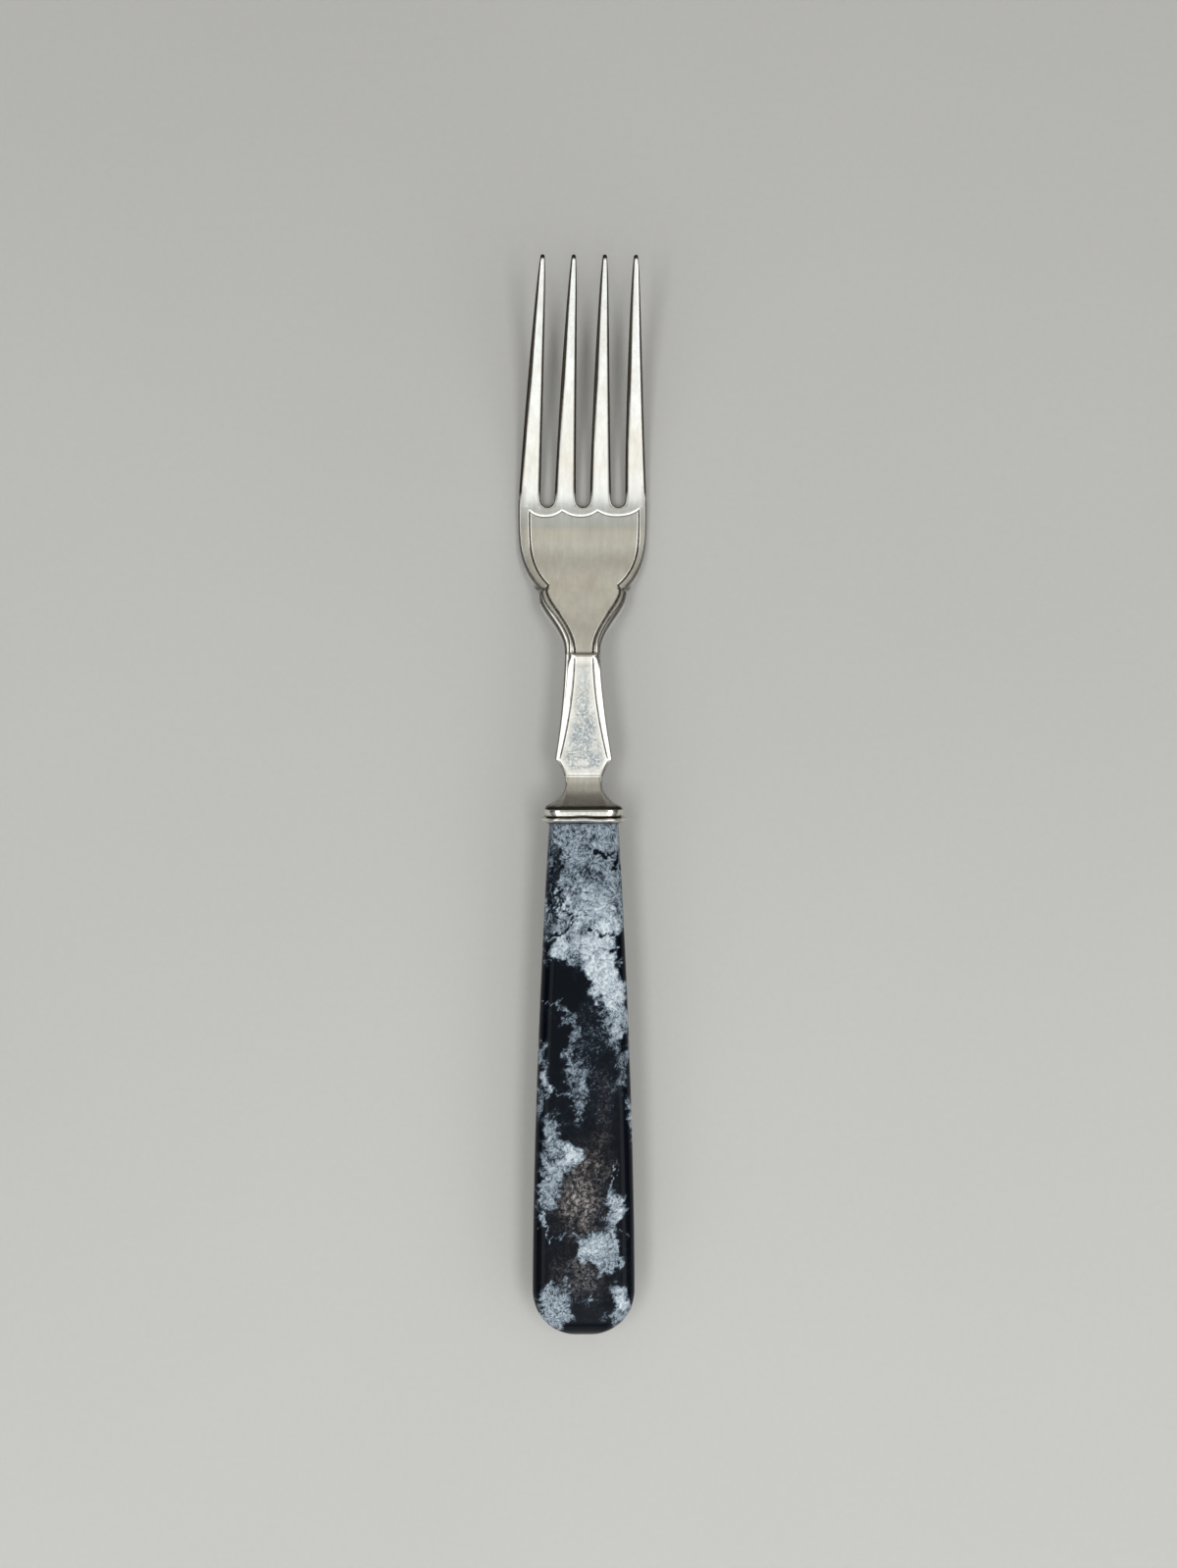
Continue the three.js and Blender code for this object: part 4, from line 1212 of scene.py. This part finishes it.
# %% Clouds and veins, from the seat to the butt
# Each cloud: across, along, half-width, half-length, tone.
CLOUDS = (
    (0.0, -9.0, 10.0, 15.5, 0.63),
    (2.6, -3.3, 2.6, 2.4, 0.68),
    (-5.6, -10.5, 1.8, 8.5, 0.32),
    (-3.0, -9.5, 0.9, 4.0, 0.60),
    (1.0, -8.6, 2.6, 2.4, 0.50),
    (2.2, -14.8, 4.0, 4.2, 0.76),
    (3.2, -22.5, 4.2, 6.0, 0.88),
    (4.2, -29.8, 3.6, 6.2, 0.90),
    (5.6, -35.4, 2.2, 5.4, 0.76),
    (-4.0, -22.2, 3.6, 2.2, 0.84),
    (-1.6, -23.5, 1.4, 1.8, 0.58),
    (6.7, -21.8, 1.3, 3.4, -0.20),
    (-3.7, -28.9, 4.2, 3.6, -0.12),
    (1.4, -31.8, 2.4, 1.8, 0.16),
    (1.2, -37.5, 3.2, 6.8, 0.31),
    (-4.4, -38.5, 2.9, 5.6, -0.10),
    (-7.4, -40.5, 1.1, 2.8, 0.58),
    (-6.4, -44.4, 1.6, 1.5, 0.80),
    (-7.4, -49.0, 1.1, 3.2, 0.55),
    (-1.0, -47.0, 2.3, 6.6, 0.52),
    (-0.6, -44.5, 1.0, 2.0, 0.60),
    (3.4, -47.0, 2.6, 8.6, 0.26),
    (7.3, -41.0, 1.4, 6.0, 0.58),
    (8.0, -53.0, 1.2, 5.2, 0.86),
    (-5.6, -53.4, 2.0, 3.2, 0.64),
    (-4.4, -58.0, 4.4, 3.2, 0.62),
    (-2.0, -58.0, 2.2, 1.8, 0.92),
    (-5.9, -63.6, 2.4, 5.2, 0.66),
    (-7.6, -70.0, 0.9, 4.0, 0.50),
    (0.2, -65.5, 4.6, 5.6, 0.22),
    (6.9, -62.6, 1.5, 14.0, -0.12),
    (5.2, -67.8, 2.0, 4.4, 0.76),
    (2.6, -75.2, 4.6, 4.2, 0.74),
    (1.6, -74.5, 2.4, 2.0, 0.88),
    (-0.9, -80.8, 4.4, 4.6, 0.29),
    (-7.9, -75.5, 1.3, 7.0, -0.12),
    (-5.2, -85.4, 3.6, 4.8, 0.66),
    (6.0, -84.6, 2.6, 5.2, 0.66),
    (6.8, -84.0, 1.0, 2.0, 0.92),
    (0.9, -89.0, 3.6, 1.6, -0.20),
)
# Each vein: half-width, tone, then its points as (across, along).
VEINS = (
    (0.25, 0.08, ((1.6, -4.8), (5.0, -5.3), (5.7, -8.5))),
    (0.22, 0.62, ((-7.2, -31.0), (-4.4, -31.1))),
    (0.70, 0.52, ((-4.7, -31.1), (-1.8, -35.9), (-2.6, -41.0), (-1.6, -44.0))),
    (0.20, 0.60, ((5.4, -57.8), (6.3, -62.4))),
    (0.22, 0.60, ((-0.8, -80.6), (0.3, -79.0))),
    (0.20, 0.55, ((-6.5, -73.0), (-2.5, -71.5), (0.5, -72.0))),
    (0.24, 0.10, ((-5.2, -5.6), (-4.6, -8.2))),
    (0.16, 0.82, ((-4.4, -8.6), (-4.6, -13.0), (-4.0, -18.4), (-5.6, -21.0))),
    (0.18, 0.88, ((-2.9, -12.0), (-2.2, -15.6), (-0.6, -19.0))),
    (0.30, 0.92, ((-6.3, -15.0), (-5.5, -14.5))),
    (0.14, 0.86, ((4.0, -11.8), (4.2, -17.6))),
    (0.22, 0.14, ((-2.8, -14.6), (-2.0, -18.2), (-5.4, -20.4))),
    (0.24, 0.16, ((1.2, -19.4), (4.6, -18.4), (6.4, -20.6))),
    (0.24, 0.80, ((6.0, -60.5), (4.9, -64.0), (4.6, -66.5))),
    (0.16, 0.66, ((6.2, -70.8), (8.2, -73.6))),
    (0.20, 0.74, ((-7.2, -66.0), (-7.0, -71.4), (-6.6, -73.4))),
    (0.20, 0.72, ((1.0, -83.8), (1.6, -82.2))),
    (0.18, 0.66, ((-3.4, -79.4), (-3.0, -82.6))),
    (0.16, 0.70, ((-6.2, -45.4), (-2.8, -47.4), (-2.0, -49.8))),
)
# Each scuff with its painted sheen: across, along, half-width, half-length, strength.
SCUFF_SHEENS = (
    (-0.4, -66.0, 3.4, 4.8, 1.0),
    (1.4, -59.5, 2.6, 2.8, 0.55),
    (3.4, -52.0, 1.2, 7.0, 0.16),
    (-0.6, -79.0, 3.6, 3.6, 0.45),
)
BARE_TONE = 0.08
TEAR_SEEDS = (100, 200, 300, 400)
# The drawn front's half-width and where it has faded into the sides, which have a seed and two tones of their own
DRAWN_HALF, FADED_HALF = 8.6, 11.1
BACK_SEED, BACK_DARK, BACK_PALE = 9000, 0.06, 0.82


def to_segment(x, y, start, end):
    """Distance from places to the straight line between two points."""
    along = np.array(end) - start
    t = np.clip(((x - start[0]) * along[0] + (y - start[1]) * along[1]) / (along @ along), 0, 1)
    return np.hypot(x - start[0] - t * along[0], y - start[1] - t * along[1])


def marbled(x, y):
    """Tone and scuffs' sheen at places: clouds in turn, then veins on top; scuffs with painted sheen fade out like
    bells.
    """
    places = [torn(x, y, seed) for seed in TEAR_SEEDS]
    tone = BARE_TONE + 0 * x
    for number, (cx, cy, rx, ry, shade) in enumerate(CLOUDS):
        u, v = places[number % len(places)]
        inside = (1 - np.hypot((u - cx) / rx, (v - cy) / ry)) * min(rx, ry)
        tone = blend(tone, shade, smooth(share(inside, -0.45, min(1.1, 0.6 * min(rx, ry)))))
    for number, (half, shade, points) in enumerate(VEINS):
        u, v = places[number % len(places)]
        away = np.min([to_segment(u, v, a, b) for a, b in zip(points, points[1:])], axis=0)
        tone = blend(tone, shade, smooth(share(away, half * 1.6, half * 0.4)))
    u, v = places[0]
    scuff_sheen = sum(s * np.exp(-(((u - cx) / rx) ** 2) - ((v - cy) / ry) ** 2) for cx, cy, rx, ry, s in SCUFF_SHEENS)
    return tone, np.clip(scuff_sheen, 0, 1) * share(tone, 0.62, 0.40)


def round_back(x, y):
    """Tone beyond the drawn front, on the sides and the back: larger clouds and bare black from ripples alone."""
    u, v = torn(x, y, BACK_SEED)
    field = ripples(u, v, 16, BACK_SEED + 100) + 0.6 * ripples(u, v, 7, BACK_SEED + 200)
    return blend(BACK_DARK, BACK_PALE, smooth(share(field, -0.1, 0.9)))


# %% Resin finish
RESIN_TONES = (
    (0.0, (0.001, 0.002, 0.004)),
    (0.34, (0.005, 0.008, 0.013)),
    (0.44, (0.045, 0.057, 0.073)),
    (0.54, (0.103, 0.130, 0.160)),
    (0.76, (0.252, 0.298, 0.340)),
    (1.0, (0.48, 0.525, 0.555)),
)
# Painted brown sheen of the scuffs, with pale glints.
SCUFF_SHEEN_TONES = (
    (0.38, (0.007, 0.007, 0.008)),
    (0.50, (0.060, 0.054, 0.053)),
    (0.62, (0.31, 0.287, 0.282)),
)


def resin_finish():
    """Glossy marbled resin: the painted tone, torn finer by noise, through a ramp from black to white; scuffs with
    painted sheen.
    """
    finish = Finish("marbled_resin_gloss")
    cloud, scuff_sheen, front = [finish.attribute(mark) for mark in ("cloud", "scuff_sheen", "front")]
    drift = finish.noise(330, detail=3, roughness=0.6, distortion=0.8)
    wisps = finish.noise(620, detail=6, roughness=0.66, distortion=2.6)
    speckle = finish.noise(2800, detail=4, roughness=0.7, distortion=0.8)
    tears = [finish.times(finish.sum("SUBTRACT", n, 0.5), k) for n, k in ((drift, 0.4), (wisps, 1.2), (speckle, 0.36))]
    threads = finish.sum("SUBTRACT", finish.noise(420, detail=4, roughness=0.6, distortion=1.8), 0.5)
    dark_threads = finish.ramp(finish.sum("ABSOLUTE", threads), (0.0, 0.30), (0.035, 0.0))
    tone = finish.sum("SUBTRACT", finish.plus(cloud, *tears), dark_threads)
    flecks = finish.noise(1500, detail=4, roughness=0.7, distortion=1.0)
    scuff_sheen = finish.times(scuff_sheen, finish.ramp(drift, (0.35, 0.25), (0.62, 1.0)))
    # Scuffs are rougher and show a painted brown sheen in place of the marbling.
    colour = finish.between(scuff_sheen, finish.ramp(tone, *RESIN_TONES), finish.ramp(flecks, *SCUFF_SHEEN_TONES))
    rough = finish.plus(*[finish.times(value, 0.12) for value in (front, scuff_sheen, speckle)])
    relief = finish.bump(speckle, 0.000008)
    return finish.dress(Base_Color=colour, Roughness=rough, Normal=relief, Specular_IOR_Level=0.08)


handle, handle_points = new_piece("resin_handle", [handle_patch], "handle", resin_finish())


def handle_marks(points):
    """Tone, scuffs with their painted sheen, and flat front of the handle's points; places past the silhouette go down
    the sides.
    """
    x, y, z = points.T
    width, thickness, radius = handle_ring(y)
    past = np.where(z < thickness / 2 - radius, thickness / 2 - radius - z, 0)
    across = x + np.sign(x) * past
    tone, scuff_sheen = marbled(across, y)
    beyond = smooth(share(np.abs(across), DRAWN_HALF, FADED_HALF))
    front = share(np.abs(x), width / 2 - radius + 0.3, width / 2 - radius - 0.3) * (z > 0)
    return blend(tone, round_back(across, y), beyond), scuff_sheen * front, front


for mark, values in zip(("cloud", "scuff_sheen", "front"), handle_marks(handle_points)):
    store(handle, mark, values)

# %% Hidden tang and cement


def hidden_finish(name, dark, pale, scale, metallic, roughness):
    """A rough two-tone finish for the pieces inside the handle."""
    finish = Finish(name)
    grain = finish.noise(scale, detail=5, roughness=0.65)
    colour = finish.ramp(grain, (0.35, dark), (0.65, pale))
    relief = finish.bump(grain, 0.00005)
    return finish.dress(Base_Color=colour, Normal=relief, Metallic=metallic, Roughness=roughness)


hidden_pieces = {
    "tang": hidden_finish("forged_tang", (0.20, 0.19, 0.18), (0.42, 0.41, 0.39), 1200, 1.0, 0.55),
    "tang_cement": hidden_finish("set_cement", (0.12, 0.085, 0.06), (0.24, 0.18, 0.13), 2500, 0.0, 0.85),
}
for node, material in hidden_pieces.items():
    frame["nodes"][node].data.materials.clear()
    frame["nodes"][node].data.materials.append(material)
